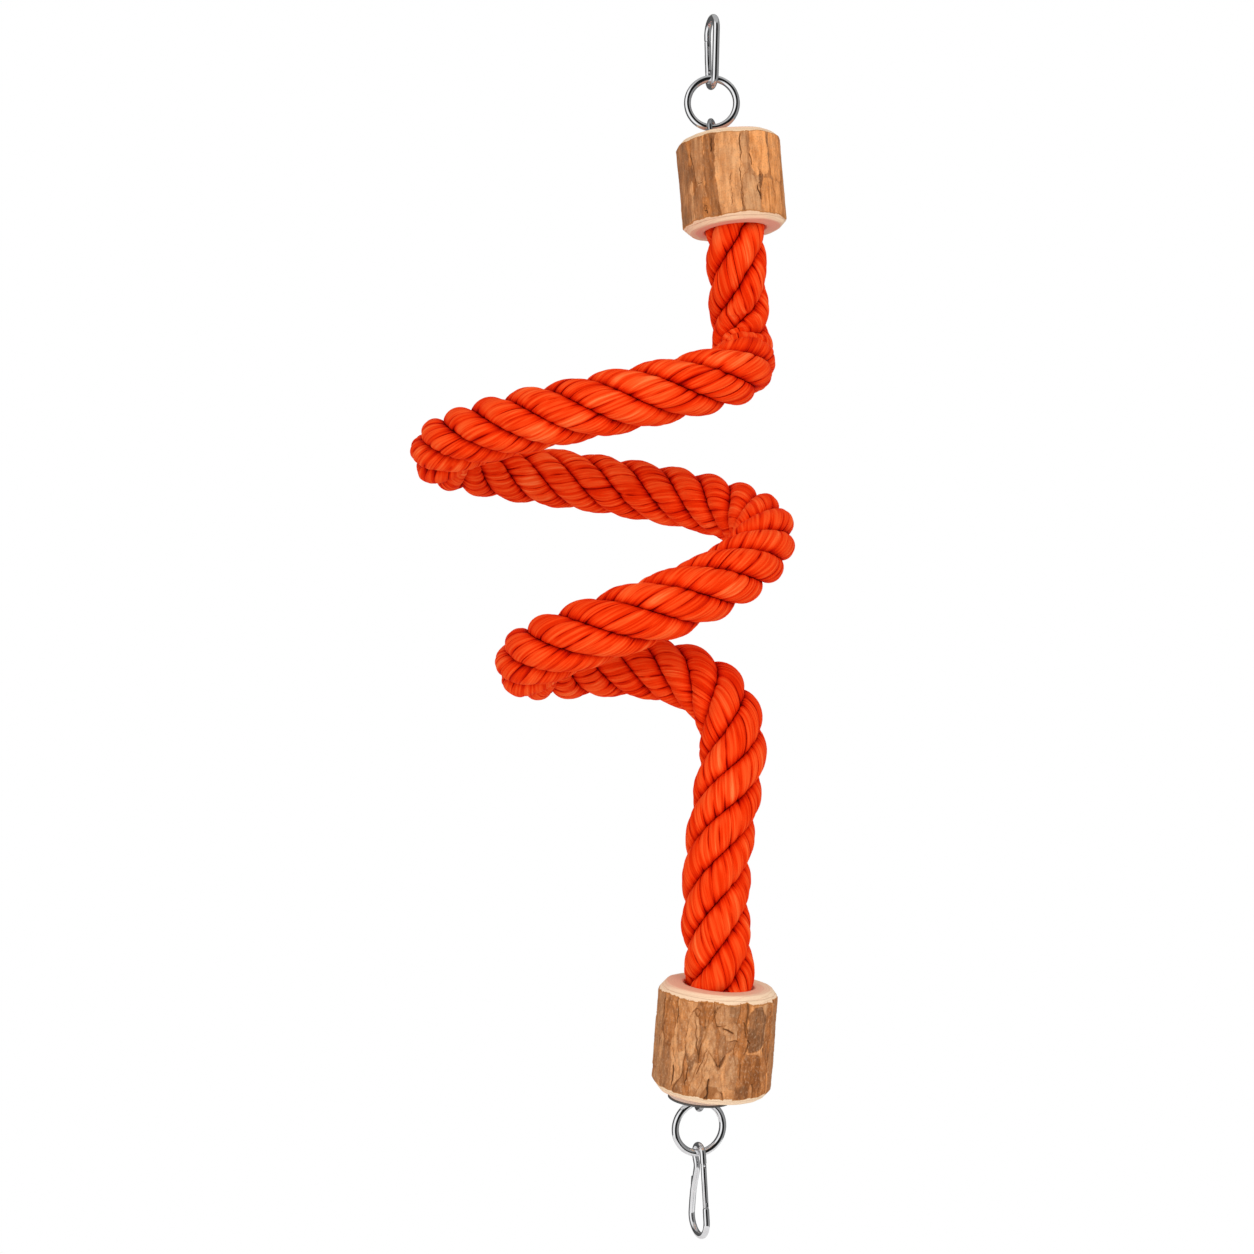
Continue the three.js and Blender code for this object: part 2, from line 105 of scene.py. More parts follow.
# A yarn's surface: how columns crowd to its edges, creases, dents and wandering, the lengths along the rope
# that these change over, and how fast they change round a strand or from yarn to yarn
COLUMN_CROWD = 0.13
CREASE_MEAN, CREASE_SWING, CREASE_LIMIT, CREASE_WIDTH, LEAST_HOLLOW = 0.45, 0.62, 1.1, 0.035, 0.35
DENT, DENT_LIMIT, WANDER = 0.5, 0.6, 0.24
CREASE_RUN, DENT_RUN, WANDER_RUN, SHADE_RUN, FIBRE_RUN = 4.5, 11, 30, 24, 37
CREASE_ROUND, DENT_ROUND, WANDER_ROUND, SHADE_ROUND = 2.7, 2.2, 1.6, 5.1

# Bark: grid, depth on the cut rim, limits from a round log, and plates: the height they are scattered over,
# how far their edges bend and sway, and how much paler and greyer high ones are. A run is the lengths across
# and along that a noise changes over, and a wobble is a list of sizes, each with such lengths. A patch takes
# its share of tone and warmth, levels and heals what is under it, and has a groove round it.
LOG_COLUMNS, BARK_STEP = 600, 0.75
BARK_DEPTH, BARK_IN, BARK_OUT = 3.4, -2.8, 1.1
PLATES_TALL, PLATE_BEND, PLATE_SWAY, STEP_WIDTH, PALER, GREYER = 140, 0.22, 0.5, 0.9, 0.25, 0.35
BEND_RUN, SWAY_RUN, RIDGE_RUN, GRAIN_RUN = (9, 9), (12, 14), (2.2, 14), (0.9, 2.4)
CRACK_WOBBLE, CRACK_FADE, CRACK_LEAST = [(0.9, 5), (0.35, 1.7)], 0.15, 0.2
CRACK_DEPTH, CRACK_WIDE, CRACK_ENDS, CRACK_UNEVEN, CRACK_RUN = 1.4, 0.65, 0.35, 0.4, 7
PATCH_WOBBLE, PATCH_EDGE = [(0.9, 5, 5), (0.5, 1.6, 2.4)], (-0.4, 0.7)
PATCH_TONE, PATCH_WARMTH, PATCH_LEVEL, PATCH_HEAL, PATCH_GROOVE = 0.88, 0.85, 0.5, 0.3, 1.2
RIM_WOBBLE = [(0.9, 1 / 3, 1 / 3), (0.4, 1 / 11, 1 / 11)]
KNOT_WOBBLE, KNOT_NARROW, KNOT_RIDGE, KNOT_RIDGE_WIDTH = [(0.8, 2, 2)], 1.5, 0.8, 1.3
KNOT_GROOVE, KNOT_GROOVE_AT, KNOT_GROOVE_WIDTH = 0.95, 0.7, 0.5

# The cut wood's eased corners and bore, and how wood and bark overlap
CORNER_IN, CORNER_DOWN, BORE_EASE = 0.4, 0.5, 0.8
UNDER_BARK, UNDER_END, TUCK_IN, TUCK_DOWN = 0.1, 0.2, 0.05, 0.6

# Each log's bark: the plates' width, stretch, height and edge, the steps that get an outline (from, to and
# strength), the fine relief, then cracks (from and to, as degrees to the right of the front and millimetres
# above the middle, and half width), knots (place and size) and patches (left, right, low, high, tone from
# dark to light, warmth from grey to orange, and height)
TOP_BARK = Sizes(
    seed=41, plate=10, stretch=7, lift=0.45, edge=1.6, outline=(0.9, 1.7, 0.6), fine=(0.2, 0.16),
    cracks=[
        (9, 46, 7, 10, 0.9), (7, 12, 7, -44, 0.8), (17, 21, 20, 5, 0.8), (43, 44, 44, 14, 1),
        (44, 14, 47, -26, 0.6), (66, 40, 67, 22, 1.2), (-51, 34, -46, -7, 0.9), (-46, -6, -36, -4, 0.7),
        (-22, 43, -24, 24, 1.6), (-36, -29, -36, -43, 1.7), (-61, 10, -64, -44, 0.9),
        (-4, 4, -7, -40, 0.5), (27, 6, 30, -6, 0.8), (24, -14, 28, -34, 0.9), (95, 44, 92, -40, 1.2),
        (118, 20, 121, -44, 0.8), (140, 44, 137, 4, 1.1), (168, 44, 172, -44, 1.2),
        (-150, 40, -152, -30, 1), (-128, 10, -126, -44, 0.8), (-104, 44, -101, -8, 1.1),
        (-84, 42, -86, 0, 0.7),
    ],
    knots=[
        (29, -2, 3.4), (27.5, -16, 3), (26.5, -26, 2.6), (-36, -36, 4.4), (132, -18, 4), (-112, -22, 4.4),
    ],
    patches=[
        (-92, -56, -56, 56, 0.36, 0.2, 0), (-56, -50, 16, 52, 0.6, 1, 0),
        (-50, -33, -6, 54, 0.55, 0.25, 0.3), (-52, -38, -52, -8, 0.32, 0.25, 0.2),
        (-34, -21, -54, 54, 0.2, 0.6, -0.4), (-40, -30, -50, -22, 0.4, 1, 0.2),
        (-21, 7, -58, 58, 0.86, 0.45, 0.3), (8, 17, -2, 54, 0.62, 0.15, 0.5),
        (8, 27, -50, 0, 0.7, 0.05, 0.6), (18, 43, -8, 56, 0.95, 1, 0.2), (28, 62, -54, -6, 0.78, 1, 0.2),
        (44, 68, -10, 54, 0.76, 1, 0.1),
    ],
)
BOTTOM_BARK = Sizes(
    seed=61, plate=10.5, stretch=3.8, lift=0.9, edge=1.1, outline=(0.1, 0.7, 0.8), fine=(0.24, 0.2),
    cracks=[
        (-64, 52, -65, 4, 1.4), (-43, 54, -44, 20, 1.1), (-47, -3, -42, -20, 1), (-42, -20, -45, -48, 1.5),
        (-6, -28, -7, -46, 1.2), (-4, 26, 2, 27, 0.9), (2, 27, 15, 20, 1.3), (22, 34, 28, 13, 1.1),
        (28, 13, 32, 8, 1.4), (6, 11, 21, 11, 0.8), (0, -16, 9, -5, 0.8), (23, -10, 23, -32, 0.8),
        (61, -16, 63, -28, 1.3), (49, -40, 48, -52, 1.5), (-24, 34, -18, -12, 0.7),
        (-10, 4, -20, -30, 0.7), (-25, -6, -31, -46, 0.7), (-9, 30, -3, 50, 0.8), (58, 50, 60, 10, 0.9),
        (84, 44, 87, -30, 1.2), (112, 30, 108, -50, 1), (140, 48, 146, 0, 1.2), (172, 30, 168, -50, 1.1),
        (-150, 48, -146, -20, 1.1), (-118, 20, -122, -50, 1.2), (-92, 48, -90, 6, 1),
    ],
    knots=[(58, 38, 2.6), (-22, 40, 5)],
    patches=[
        (-92, -66, -30, 60, 0.55, 0.2, 0.5), (-64, -45, 4, 66, 0.42, 0.9, -0.2),
        (-64, -47, -54, 0, 0.3, 0.25, 0.5), (-42, -31, -8, 60, 0.52, 0.6, 0),
        (-32, -19, -6, 38, 0.76, 0.25, 0.6), (-20, -8, 24, 60, 0.3, 0.95, -0.4),
        (-16, -3, -22, 30, 0.7, 0.2, 0.5), (-26, -8, -56, -14, 0.68, 0.2, 0.5),
        (-5, 9, 28, 58, 0.66, 0.1, 0.6), (5, 18, 11, 32, 0.74, 0.1, 0.8), (8, 22, -40, -3, 0.56, 0, 0.6),
        (-7, 6, -58, -14, 0.62, 0.15, 0.5), (20, 28, -36, 10, 0.34, 0.9, -0.5),
        (28, 51, -2, 48, 0, 0.2, 0.4), (26, 48, -36, -4, 0.12, 0.95, 0),
        (19, 34, -60, -37, 0.1, 0.6, -0.5), (51, 63, -60, 56, 0.3, 0.95, -0.3),
        (63, 92, -60, 60, 0.45, 0.3, 0.3),
    ],
)

# Rings, hooks and eye bolts, as in the part
RING_RADIUS, RING_WIRE = 28, 3.95
BOTTOM_RING_YAW = 18
TOP_EYE_Z = -121.5
EYE_RADIUS, EYE_WIRE, EYE_YAW = 8.5, 3, 20
EYE_OUTER = EYE_RADIUS + EYE_WIRE
SHANK, COLLAR, COLLAR_HEIGHT = 4, 5.5, 4.2
SHANK_PAST_WALL, THREAD_PITCH, THREAD_WAVE = 14.7, 1.25, 0.35
GAP, END_GAP, ROOT = 0.3, 0.6, 2
SHEET = 2
SEAT_THICK = SHEET + 2 * GAP
HOLE = SHANK + GAP
WASHER_RIM = 13
DISH_SEAT, DISH_RIM, DISH_DEPTH, DISH_LIP = 14, 35, 9, 1
TOP_HOOK = Sizes(
    prefix="top_hook", length=85, wire=8, wide=15.5, narrow=11.5, hinge=7, nose=5, gate=7.6,
    pin=2.8, tongue=3, nose_tongue=2.6, nose_width=4.6, nose_reach=6.6, pad=0, neck=0,
)
BOTTOM_HOOK = Sizes(
    prefix="bottom_hook", length=106, wire=7.2, wide=18.5, narrow=9.5, hinge=10, nose=14, gate=6.4,
    pin=2.6, tongue=2.6, nose_tongue=2.2, nose_width=3.8, nose_reach=5.4, pad=14, neck=6,
)
TOP_HOOK_YAW, BOTTOM_HOOK_YAW = 16, 24

# The hooks' smaller shapes: the wire's grid and drawn-in ends, the pad, wire thinned a little so that the
# gate clears it, the tongue and cup at the hinge, the lower hook's pinched neck, the small hole left at a
# turned shape's axis, and the rivet's domes
WIRE_STEP, WIRE_SIDES, END_LENGTH, END_DRAW = 0.9, 28, 1.8, 0.2
PAD_WIDTH, PAD_PROUD, PAD_EASE = 4.5, 1.6, 0.8
WIRE_EASE, TONGUE_TOP, CUP_RIM = 0.05, 0.85, 0.5
NECK_AT, NECK_NEAR, NECK_FAR = 16, 8, 22
POLE, DOME_FOOT, DOME_RISE = 0.02, 0.5, 0.7

# Colours of the finishes, as linear red, green and blue
TOP_WOOD = Sizes(heart=(0.84, 0.43, 0.3), sap=(0.89, 0.64, 0.42), pith=(3, -4), radius=TOP_LOG.bark)
BOTTOM_WOOD = Sizes(heart=(0.88, 0.54, 0.36), sap=(0.92, 0.68, 0.46), pith=(-5, 3), radius=BOTTOM_LOG.bark)
PALE_BARK = [(0, (0.2, 0.085, 0.035)), (0.5, (0.43, 0.188, 0.076)), (1, (0.69, 0.36, 0.165))]
RUST_BARK = [(0, (0.24, 0.075, 0.018)), (0.5, (0.5, 0.172, 0.044)), (1, (0.91, 0.375, 0.122))]
BARK_GRIT, BARK_SPECK = (0.15, 0.065, 0.028), (0.72, 0.47, 0.28)
# The cracks' near-black is partly their own dark colour and partly painted shade in the groove
BARK_RUST_EDGE, BARK_CRACK_SHADE, BARK_RIM = (0.28, 0.09, 0.02), (0.055, 0.02, 0.008), (0.46, 0.17, 0.04)
RING_LINE, PORES = (0.62, 0.3, 0.16), (0.58, 0.3, 0.17)
GROWTH_RING, SAPWOOD = 3.1, (10.5, 5.5)
# The rope's colour runs from painted shade, through the dye's orange-red, to painted highlights
ROPE_SHADE_TO_HIGHLIGHT = [
    (0, (0.2, 0.0006, 0)), (0.3, (0.54, 0.007, 0.0002)), (0.6, (0.82, 0.032, 0.0016)),
    (0.85, (0.93, 0.092, 0.015)), (1, (0.97, 0.2, 0.058)),
]
# The dished washer: its pale face is a painted reflection of the white room, and its rim a painted dark edge
DISH_PAINTED_WHITE, DISH_PAINTED_DARK_EDGE = (0.88, 0.88, 0.88), (0.08, 0.08, 0.08)
GLUE_TONES = [(0.3, (0.72, 0.62, 0.42)), (0.7, (0.84, 0.76, 0.58))]

# Stage. ROOM is what metal mirrors: shares of a turn from the back round by the left, and the grey there.
FLOOR_Z, FLOOR_RADIUS, FLOOR_FADE = -1720, 800, 480
FLOOR_GREY, WHITE = (0.93, 0.93, 0.93, 1), (1, 1, 1, 1)
WORLD_LIGHT, LIGHT_AIM = 0.72, (-0.1, 0, -0.7)
ROOM = [
    (0, 0.12), (0.24, 0.07), (0.32, 1), (0.43, 1), (0.47, 0.01), (0.61, 0.01), (0.66, 0.32),
    (0.8, 0.22), (1, 0.12),
]
ROOM_CEILING, ROOM_FLOOR, ROOM_LIGHT = 0.45, 0.25, 1.15

FLIP = np.diag([1, -1, -1])


def turn_y(degrees):
    """Rotation about +Y."""
    a = math.radians(degrees)
    return np.array([[math.cos(a), 0, math.sin(a)], [0, 1, 0], [-math.sin(a), 0, math.cos(a)]])


def turn_z(degrees):
    """Rotation about +Z."""
    a = math.radians(degrees)
    return np.array([[math.cos(a), -math.sin(a), 0], [math.sin(a), math.cos(a), 0], [0, 0, 1]])


def placed(grid, turn, at):
    """A grid turned and then moved."""
    return grid @ np.asarray(turn).T + np.asarray(at)


def in_log(log, grid):
    """A grid placed as its log is."""
    return placed(grid, log.turn, log.at)


def washer_seat(log):
    """Where the eye bolt's washer lies on a log's end, from the log's centre."""
    return np.array([*log.eye, log.height / 2 - log.sink])


def eye_in_log(log):
    """The eye's centre from the log's centre, before the log leans."""
    return washer_seat(log) + [0, 0, SEAT_THICK + EYE_OUTER]


def smooth_step(x, low, high):
    """0 below low, 1 above high and an even S between them."""
    t = np.clip((x - low) / (high - low), 0, 1)
    return t * t * (3 - 2 * t)


def smooth_noise(*coords, waves=9, seed=SEED):
    """A sum of sine waves in random directions over the given coordinates, about -1 to 1."""
    rng = np.random.default_rng(seed)
    total = 0
    for _ in range(waves):
        phase = rng.uniform(0, TAU)
        for c in coords:
            phase = phase + c * rng.normal(0, 1)
        total = total + np.sin(phase)
    return total / math.sqrt(waves)


def unit_circle(angle):
    """The x and y of a unit circle's points."""
    return np.stack([np.cos(angle), np.sin(angle)])


def bell(x, width):
    """A bell curve: 1 at 0, and about a third a width away."""
    return np.exp(-((x / width) ** 2))


def wobble(seed, parts, *coords):
    """A sum of noises over the given coordinates, each with its size and the lengths it changes over."""
    total = 0
    for n, (size, *lengths) in enumerate(parts):
        total = total + size * smooth_noise(*(c / d for c, d in zip(coords, lengths)), seed=seed + n)
    return total


def new_object(name, data):
    """A new object in the scene."""
    made = bpy.data.objects.new(name, data)
    bpy.context.scene.collection.objects.link(made)
    return made


def corner_grid(grid, step, wrap):
    """The four values of a grid at each of its cells, going round the cell. step is what the last column
    gains when it wraps to the first."""
    ahead = np.concatenate([grid[:, 1:], grid[:, :1] + step], 1) if wrap else grid[:, 1:]
    here = grid if wrap else grid[:, :-1]
    return np.stack([here[:-1], ahead[:-1], ahead[1:], here[1:]], -1)


def grid_piece(name, points, wrap=False, close=False, uv=None, values=None, caps=True):
    """A mesh from a grid of points (rows, columns, 3) in millimetres.

    Each cell of the grid is a quad. wrap joins the last column to the first, close joins the last row to
    the first, and caps fills the first and last rows of a wrapped grid. uv holds a pair of grids, and
    values a grid for each named attribute. The faces are turned so that the enclosed volume is positive.
    """
    rows, cols = points.shape[:2]
    i = np.arange(rows if close else rows - 1)[:, None]
    j = np.arange(cols if wrap else cols - 1)[None, :]
    i2, j2 = (i + 1) % rows, (j + 1) % cols
    corners = i * cols + j, i * cols + j2, i2 * cols + j2, i2 * cols + j
    quads = np.stack(np.broadcast_arrays(*corners), -1).reshape(-1, 4)
    flat = points.reshape(-1, 3) * MM
    a, b, c, d = (flat[quads[:, n]] for n in range(4))
    volume = (a * np.cross(b, c)).sum() + (a * np.cross(c, d)).sum()
    order = [0, 1, 2, 3] if volume > 0 else [3, 2, 1, 0]
    faces = quads[:, order].tolist()
    if wrap and caps and not close:
        first, last = list(range(cols)), list(range((rows - 1) * cols, rows * cols))
        faces += [first[::-1], last] if volume > 0 else [first, last[::-1]]
    mesh = bpy.data.meshes.new(name)
    mesh.from_pydata(flat.tolist(), [], faces, shade_flat=False)
    if uv is not None:
        pair = np.stack([corner_grid(uv[0], 1, wrap), corner_grid(uv[1], 0, wrap)], -1)
        full = np.zeros((len(mesh.loops), 2))
        full[: pair.size // 2] = pair.reshape(-1, 4, 2)[:, order].reshape(-1, 2)
        mesh.uv_layers.new(name="along").data.foreach_set("uv", full.ravel())
    for key, value in (values or {}).items():
        vector = np.ndim(value) == 3
        held = mesh.attributes.new(key, "FLOAT_VECTOR" if vector else "FLOAT", "POINT")
        held.data.foreach_set("vector" if vector else "value", np.asarray(value, float).ravel())
    mesh.update()
    return new_object(name, mesh)


def joined(name, pieces):
    """One object from several closed shells."""
    with bpy.context.temp_override(active_object=pieces[0], selected_editable_objects=pieces):
        bpy.ops.object.join()
    pieces[0].name = pieces[0].data.name = name
    return pieces[0]


def welded(piece, sharp=None):
    """Merges points that coincide, such as those of a pole, and keeps edges over an angle sharp."""
    work = bmesh.new()
    work.from_mesh(piece.data)
    bmesh.ops.remove_doubles(work, verts=work.verts, dist=1e-6)
    work.to_mesh(piece.data)
    work.free()
    if sharp is not None:
        piece.data.set_sharp_from_angle(angle=math.radians(sharp))
    return piece


def fitted(piece, body, node):
    """Lets a piece ride on a body, in place of a node of the part."""
    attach(piece, body)
    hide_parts(node)


# Camera

camera_data = bpy.data.cameras.new("camera")
camera_data.lens = LENS
camera_data.sensor_width = SENSOR
camera = new_object("camera", camera_data)
camera.location = [c * MM for c in CAMERA_AT]
camera.rotation_euler = (math.radians(90), 0, 0)
bpy.context.scene.camera = camera

# Where the logs and the lower eye are. The bottom log is upside down
TOP_LOG.turn = turn_y(TOP_LOG.lean)
TOP_LOG.at = np.array([0, 0, TOP_EYE_Z]) - TOP_LOG.turn @ eye_in_log(TOP_LOG)
BOTTOM_LOG.turn = turn_y(BOTTOM_LOG.lean) @ FLIP
BOTTOM_LOG.at = TOP_LOG.at + BOTTOM_LOG_AT
lower_eye = in_log(BOTTOM_LOG, eye_in_log(BOTTOM_LOG))


# Rope


def seat_points(log):
    """Points down the rope's axis in a log: the rope's end, half way, the mouth, and just past it."""
    deep = [log.seat, log.seat / 2, 0, -MOUTH_LEAD]
    return in_log(log, np.array([[0, 0, z - log.height / 2] for z in deep]))


def spiral_points():
    """Half a turn at a time from side to side: middle + arm cos(angle) + bulge sin(angle), with a height
    that comes down evenly with the angle."""
    sides = TOP_LOG.at + SIDES
    share = np.arange(1, STEPS_PER_HALF_TURN + 1)[:, None] / STEPS_PER_HALF_TURN
    points = [sides[:1]]
    for a, b, bulge in zip(sides[:-1], sides[1:], BULGES):
        turn = (a + b) / 2 + (a - b) / 2 * np.cos(np.pi * share)
        turn[:, 2:] = a[2] + (b[2] - a[2]) * share
        points.append(turn + np.array([0, *bulge]) * np.sin(np.pi * share))
    return np.concatenate(points)


def through(p, samples=60):
    """Centripetal Catmull-Rom curve: in each span a cubic whose end slopes come from the neighbours,
    with spans weighted by the square root of their length."""
    p = np.concatenate([[2 * p[0] - p[1]], p, [2 * p[-1] - p[-2]]])
    p0, p1, p2, p3 = p[:-3], p[1:-2], p[2:-1], p[3:]
    spans = (p0, p1), (p1, p2), (p2, p3)
    d0, d1, d2 = (np.sqrt(np.linalg.norm(b - a, axis=1))[:, None] for a, b in spans)
    s1 = ((p1 - p0) / d0 - (p2 - p0) / (d0 + d1) + (p2 - p1) / d1) * d1
    s2 = ((p2 - p1) / d1 - (p3 - p1) / (d1 + d2) + (p3 - p2) / d2) * d1
    t = (np.arange(samples) / samples)[None, :, None]
    p1, p2, s1, s2 = (x[:, None, :] for x in (p1, p2, s1, s2))
    square = 3 * p2 - 3 * p1 - 2 * s1 - s2
    cube = 2 * p1 - 2 * p2 + s1 + s2
    curve = p1 + s1 * t + square * t**2 + cube * t**3
    return np.concatenate([curve.reshape(-1, 3), p[-2:-1]])


def read_off(s, along, table):
    """A table's rows at distances between its own."""
    return np.stack([np.interp(s, along, table[:, k]) for k in range(3)], -1)


def evenly(points, step):
    """The same line with its points an even step apart, and the distance along it of each."""
    along = np.concatenate([[0], np.cumsum(np.linalg.norm(np.diff(points, axis=0), axis=1))])
    s = np.linspace(0, along[-1], int(round(along[-1] / step)) + 1)
    return read_off(s, along, points), s


def carried_frames(line):
    """Two cross directions, carried along the line by the least turn at each step."""
    tangent = np.gradient(line, axis=0)
    tangent /= np.linalg.norm(tangent, axis=1)[:, None]
    side = np.empty_like(line)
    side[0] = np.cross(tangent[0], [0, 1, 0])
    for n in range(1, len(line)):
        side[n] = side[n - 1] - tangent[n] * (side[n - 1] @ tangent[n])
        side[n] /= np.linalg.norm(side[n])
    return side, np.cross(tangent, side)


top_seat, bottom_seat = seat_points(TOP_LOG), seat_points(BOTTOM_LOG)
upper_run, lower_run = TOP_LOG.at + UPPER_RUN, TOP_LOG.at + LOWER_RUN
route = np.concatenate([top_seat, upper_run, spiral_points(), lower_run, bottom_seat[::-1]])
rope_line, rope_s = evenly(through(route), ROPE_STEP)
rope_length = rope_s[-1]
rope_side, rope_cross = carried_frames(rope_line)


def lay_turn(s):
    """How far the strands have turned about the rope's axis, at a distance along it."""
    return FIRST_STRAND_TURN + TAU * s / LAY


def on_route(s, x, y):
    """Bends a straight rope onto the route: x and y go along the two carried cross directions."""
    s = np.clip(s, 0, rope_length)
    place, side, cross = (read_off(s, rope_s, table) for table in (rope_line, rope_side, rope_cross))
    return place + x[..., None] * side + y[..., None] * cross


def spun(x, y, angle):
    """A point turned about the rope's axis."""
    return x * np.cos(angle) - y * np.sin(angle), x * np.sin(angle) + y * np.cos(angle)


def strand(number):
    """One of the rope's strands: a tube on a helix round the rope's axis, made of twisted yarns.

    Its grid follows the yarns: a column is one line of a yarn and turns back round the strand as it goes
    along, and columns stand closer near the yarns' edges. Each yarn swells between its edges, and a thin
    crease of uneven depth parts it from the next. Where the tube would enter its neighbours it is pressed
    flat against the planes that part the rope evenly.
    """
    even = np.arange(YARNS * YARN_SAMPLES) / YARN_SAMPLES
    columns = (even - COLUMN_CROWD * np.sin(TAU * even)) / YARNS
    s, u = np.meshgrid(rope_s, columns, indexing="ij")
    about = unit_circle(TAU * u)
    radius = ROPE_D / 2 * (ROPE_THIN + (ROPE_THICK - ROPE_THIN) * s / rope_length)
    tube = radius / (1 + 1 / math.sin(math.pi / STRANDS))
    arm = radius - tube
    slope = np.arctan(TAU * arm / LAY)

    nearest = np.round(u * YARNS)
    uneven = smooth_noise(s / CREASE_RUN, nearest % YARNS * CREASE_ROUND, seed=SEED + 11 * number)
    depth = np.clip(CREASE_MEAN + CREASE_SWING * uneven, 0, CREASE_LIMIT)
    edge = np.abs(u * YARNS - nearest)
    crease = depth * np.exp(-edge / CREASE_WIDTH)
    hollow = (LEAST_HOLLOW + (1 - LEAST_HOLLOW) * depth) * (1 - 2 * edge) ** 2
    dent = smooth_noise(s / DENT_RUN, *(DENT_ROUND * about), seed=SEED + 5 + number)
    reach = tube - CREASE_DEPTH * crease - YARN_SWELL * hollow + DENT * np.minimum(dent, DENT_LIMIT)
    wander = WANDER * smooth_noise(s / WANDER_RUN, *(WANDER_ROUND * about), seed=31 + number)
    turn = TAU * u + wander + YARN_TURNS * lay_turn(s)

    out = arm + reach * np.cos(turn)
    across = STRAND_WIDTH * reach * np.sin(turn) * np.cos(slope)
    level = s - reach * np.sin(turn) * np.sin(slope)
    x, y = spun(out, across, lay_turn(s) - lay_turn(level))
    x = np.maximum(x, CORE_D / 2 + PRESS_GAP)
    limit = math.tan(math.pi / STRANDS) * x - PRESS_GAP
    y = np.clip(y, -limit, limit)
    points = on_route(level, *spun(x, y, TAU * number / STRANDS + lay_turn(level)))
    shade = smooth_noise(s / SHADE_RUN, np.floor(u * YARNS) * SHADE_ROUND, seed=SEED + 17 * number + 2)
    # crease, hollow and crown also paint shade and highlights into the rope's colour; shade is a random tone
    # for each yarn
    values = {"crease": crease, "hollow": hollow, "crown": np.hypot(x, y) / radius, "shade": shade}
    return grid_piece(f"rope_strand_{number + 1}", points, wrap=True, uv=(u, s / FIBRE_RUN), values=values)


def round_section(radius, sides):
    """A circle's points."""
    return radius * unit_circle(TAU * np.arange(sides) / sides).T


def swept(path, section, size=1):
    """A section carried along a path: point = path + size (section x side + section y cross)."""
    side, cross = carried_frames(path)
    x, y = section[None, :, :1], section[None, :, 1:]
    size = np.broadcast_to(size, len(path))[:, None, None]
    return path[:, None] + size * (x * side[:, None] + y * cross[:, None])


strands = [strand(n) for n in range(STRANDS)]
core_wire = grid_piece("rope_core_wire", swept(rope_line[::3], round_section(CORE_D / 2, 12)), wrap=True)
for piece in strands + [core_wire]:
    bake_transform(piece)
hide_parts("rope")
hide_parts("core_wire")

# Logs


def skin_noise(angle, up, radius, run, seed, waves=9):
    """Noise on a log's side without a seam."""
    across, along = run
    x, y = radius / across * unit_circle(np.radians(angle))
    return smooth_noise(x, y, up / along, waves=waves, seed=seed)


def bark_cells(angle, up, radius, bark):
    """Plates of bark: each point belongs to the nearest of many scattered seeds, with heights divided by the
    stretch. Gives each point's own and next plate, how much farther the next is, and the plates' number."""
    width, stretch, seed = bark.plate, bark.stretch, bark.seed
    rng = np.random.default_rng(seed)
    girth = TAU * radius
    count = int(girth * PLATES_TALL / (width * width * stretch))
    seed_arc = rng.uniform(0, girth, count)
    seed_up = rng.uniform(-PLATES_TALL / 2, PLATES_TALL / 2, count)
    bend = PLATE_BEND * width * skin_noise(angle, up, radius, BEND_RUN, seed + 1)
    arc = np.radians(angle) * radius + bend
    lift = up + PLATE_SWAY * width * skin_noise(angle, up, radius, SWAY_RUN, seed + 2)
    across = np.abs((arc[..., None] - seed_arc + girth / 2) % girth - girth / 2)
    apart = np.hypot(across, (lift[..., None] - seed_up) / stretch).astype(np.float32)
    order = np.argpartition(apart, 1, axis=-1)[..., :2]
    near = np.take_along_axis(apart, order, -1)
    return order[..., 0], order[..., 1], near[..., 1] - near[..., 0], count


def bark_crack(angle, up, radius, crack, seed):
    """A narrow groove between two places: 1 on its wobbling line and 0 away from it, fading at both ends."""
    ends = np.array([np.radians(crack[0:4:2]) * radius, crack[1:4:2]]).T
    length = np.linalg.norm(ends[1] - ends[0])
    way = (ends[1] - ends[0]) / length
    arc, rise = np.radians(angle) * radius - ends[0, 0], up - ends[0, 1]
    t = arc * way[0] + rise * way[1]
    off = arc * way[1] - rise * way[0] + wobble(seed, CRACK_WOBBLE, t)
    fade = smooth_step(t, 0, CRACK_FADE * length) * smooth_step(length - t, 0, CRACK_FADE * length)
    wide = CRACK_WIDE * crack[4] * (CRACK_ENDS + (1 - CRACK_ENDS) * fade)
    wide = wide * (1 + CRACK_UNEVEN * smooth_noise(t / CRACK_RUN, seed=seed + 2))
    return bell(off, np.maximum(wide, CRACK_LEAST)) * fade


def bark_patch(angle, up, radius, patch, seed):
    """1 inside a patch and 0 outside: a rounded oblong of angles and heights with a wobbling edge."""
    left, right, low, high = patch[:4]
    arc = (angle - (left + right) / 2) * math.radians(1) * radius
    wide, tall = (right - left) / 2 * math.radians(1) * radius, (high - low) / 2
    rise = up - (low + high) / 2
    reach = (np.abs(arc / wide) ** 3 + np.abs(rise / tall) ** 3) ** (1 / 3)
    inside = (1 - reach) * min(wide, tall) + wobble(seed, PATCH_WOBBLE, arc, rise)
    return smooth_step(inside, *PATCH_EDGE)


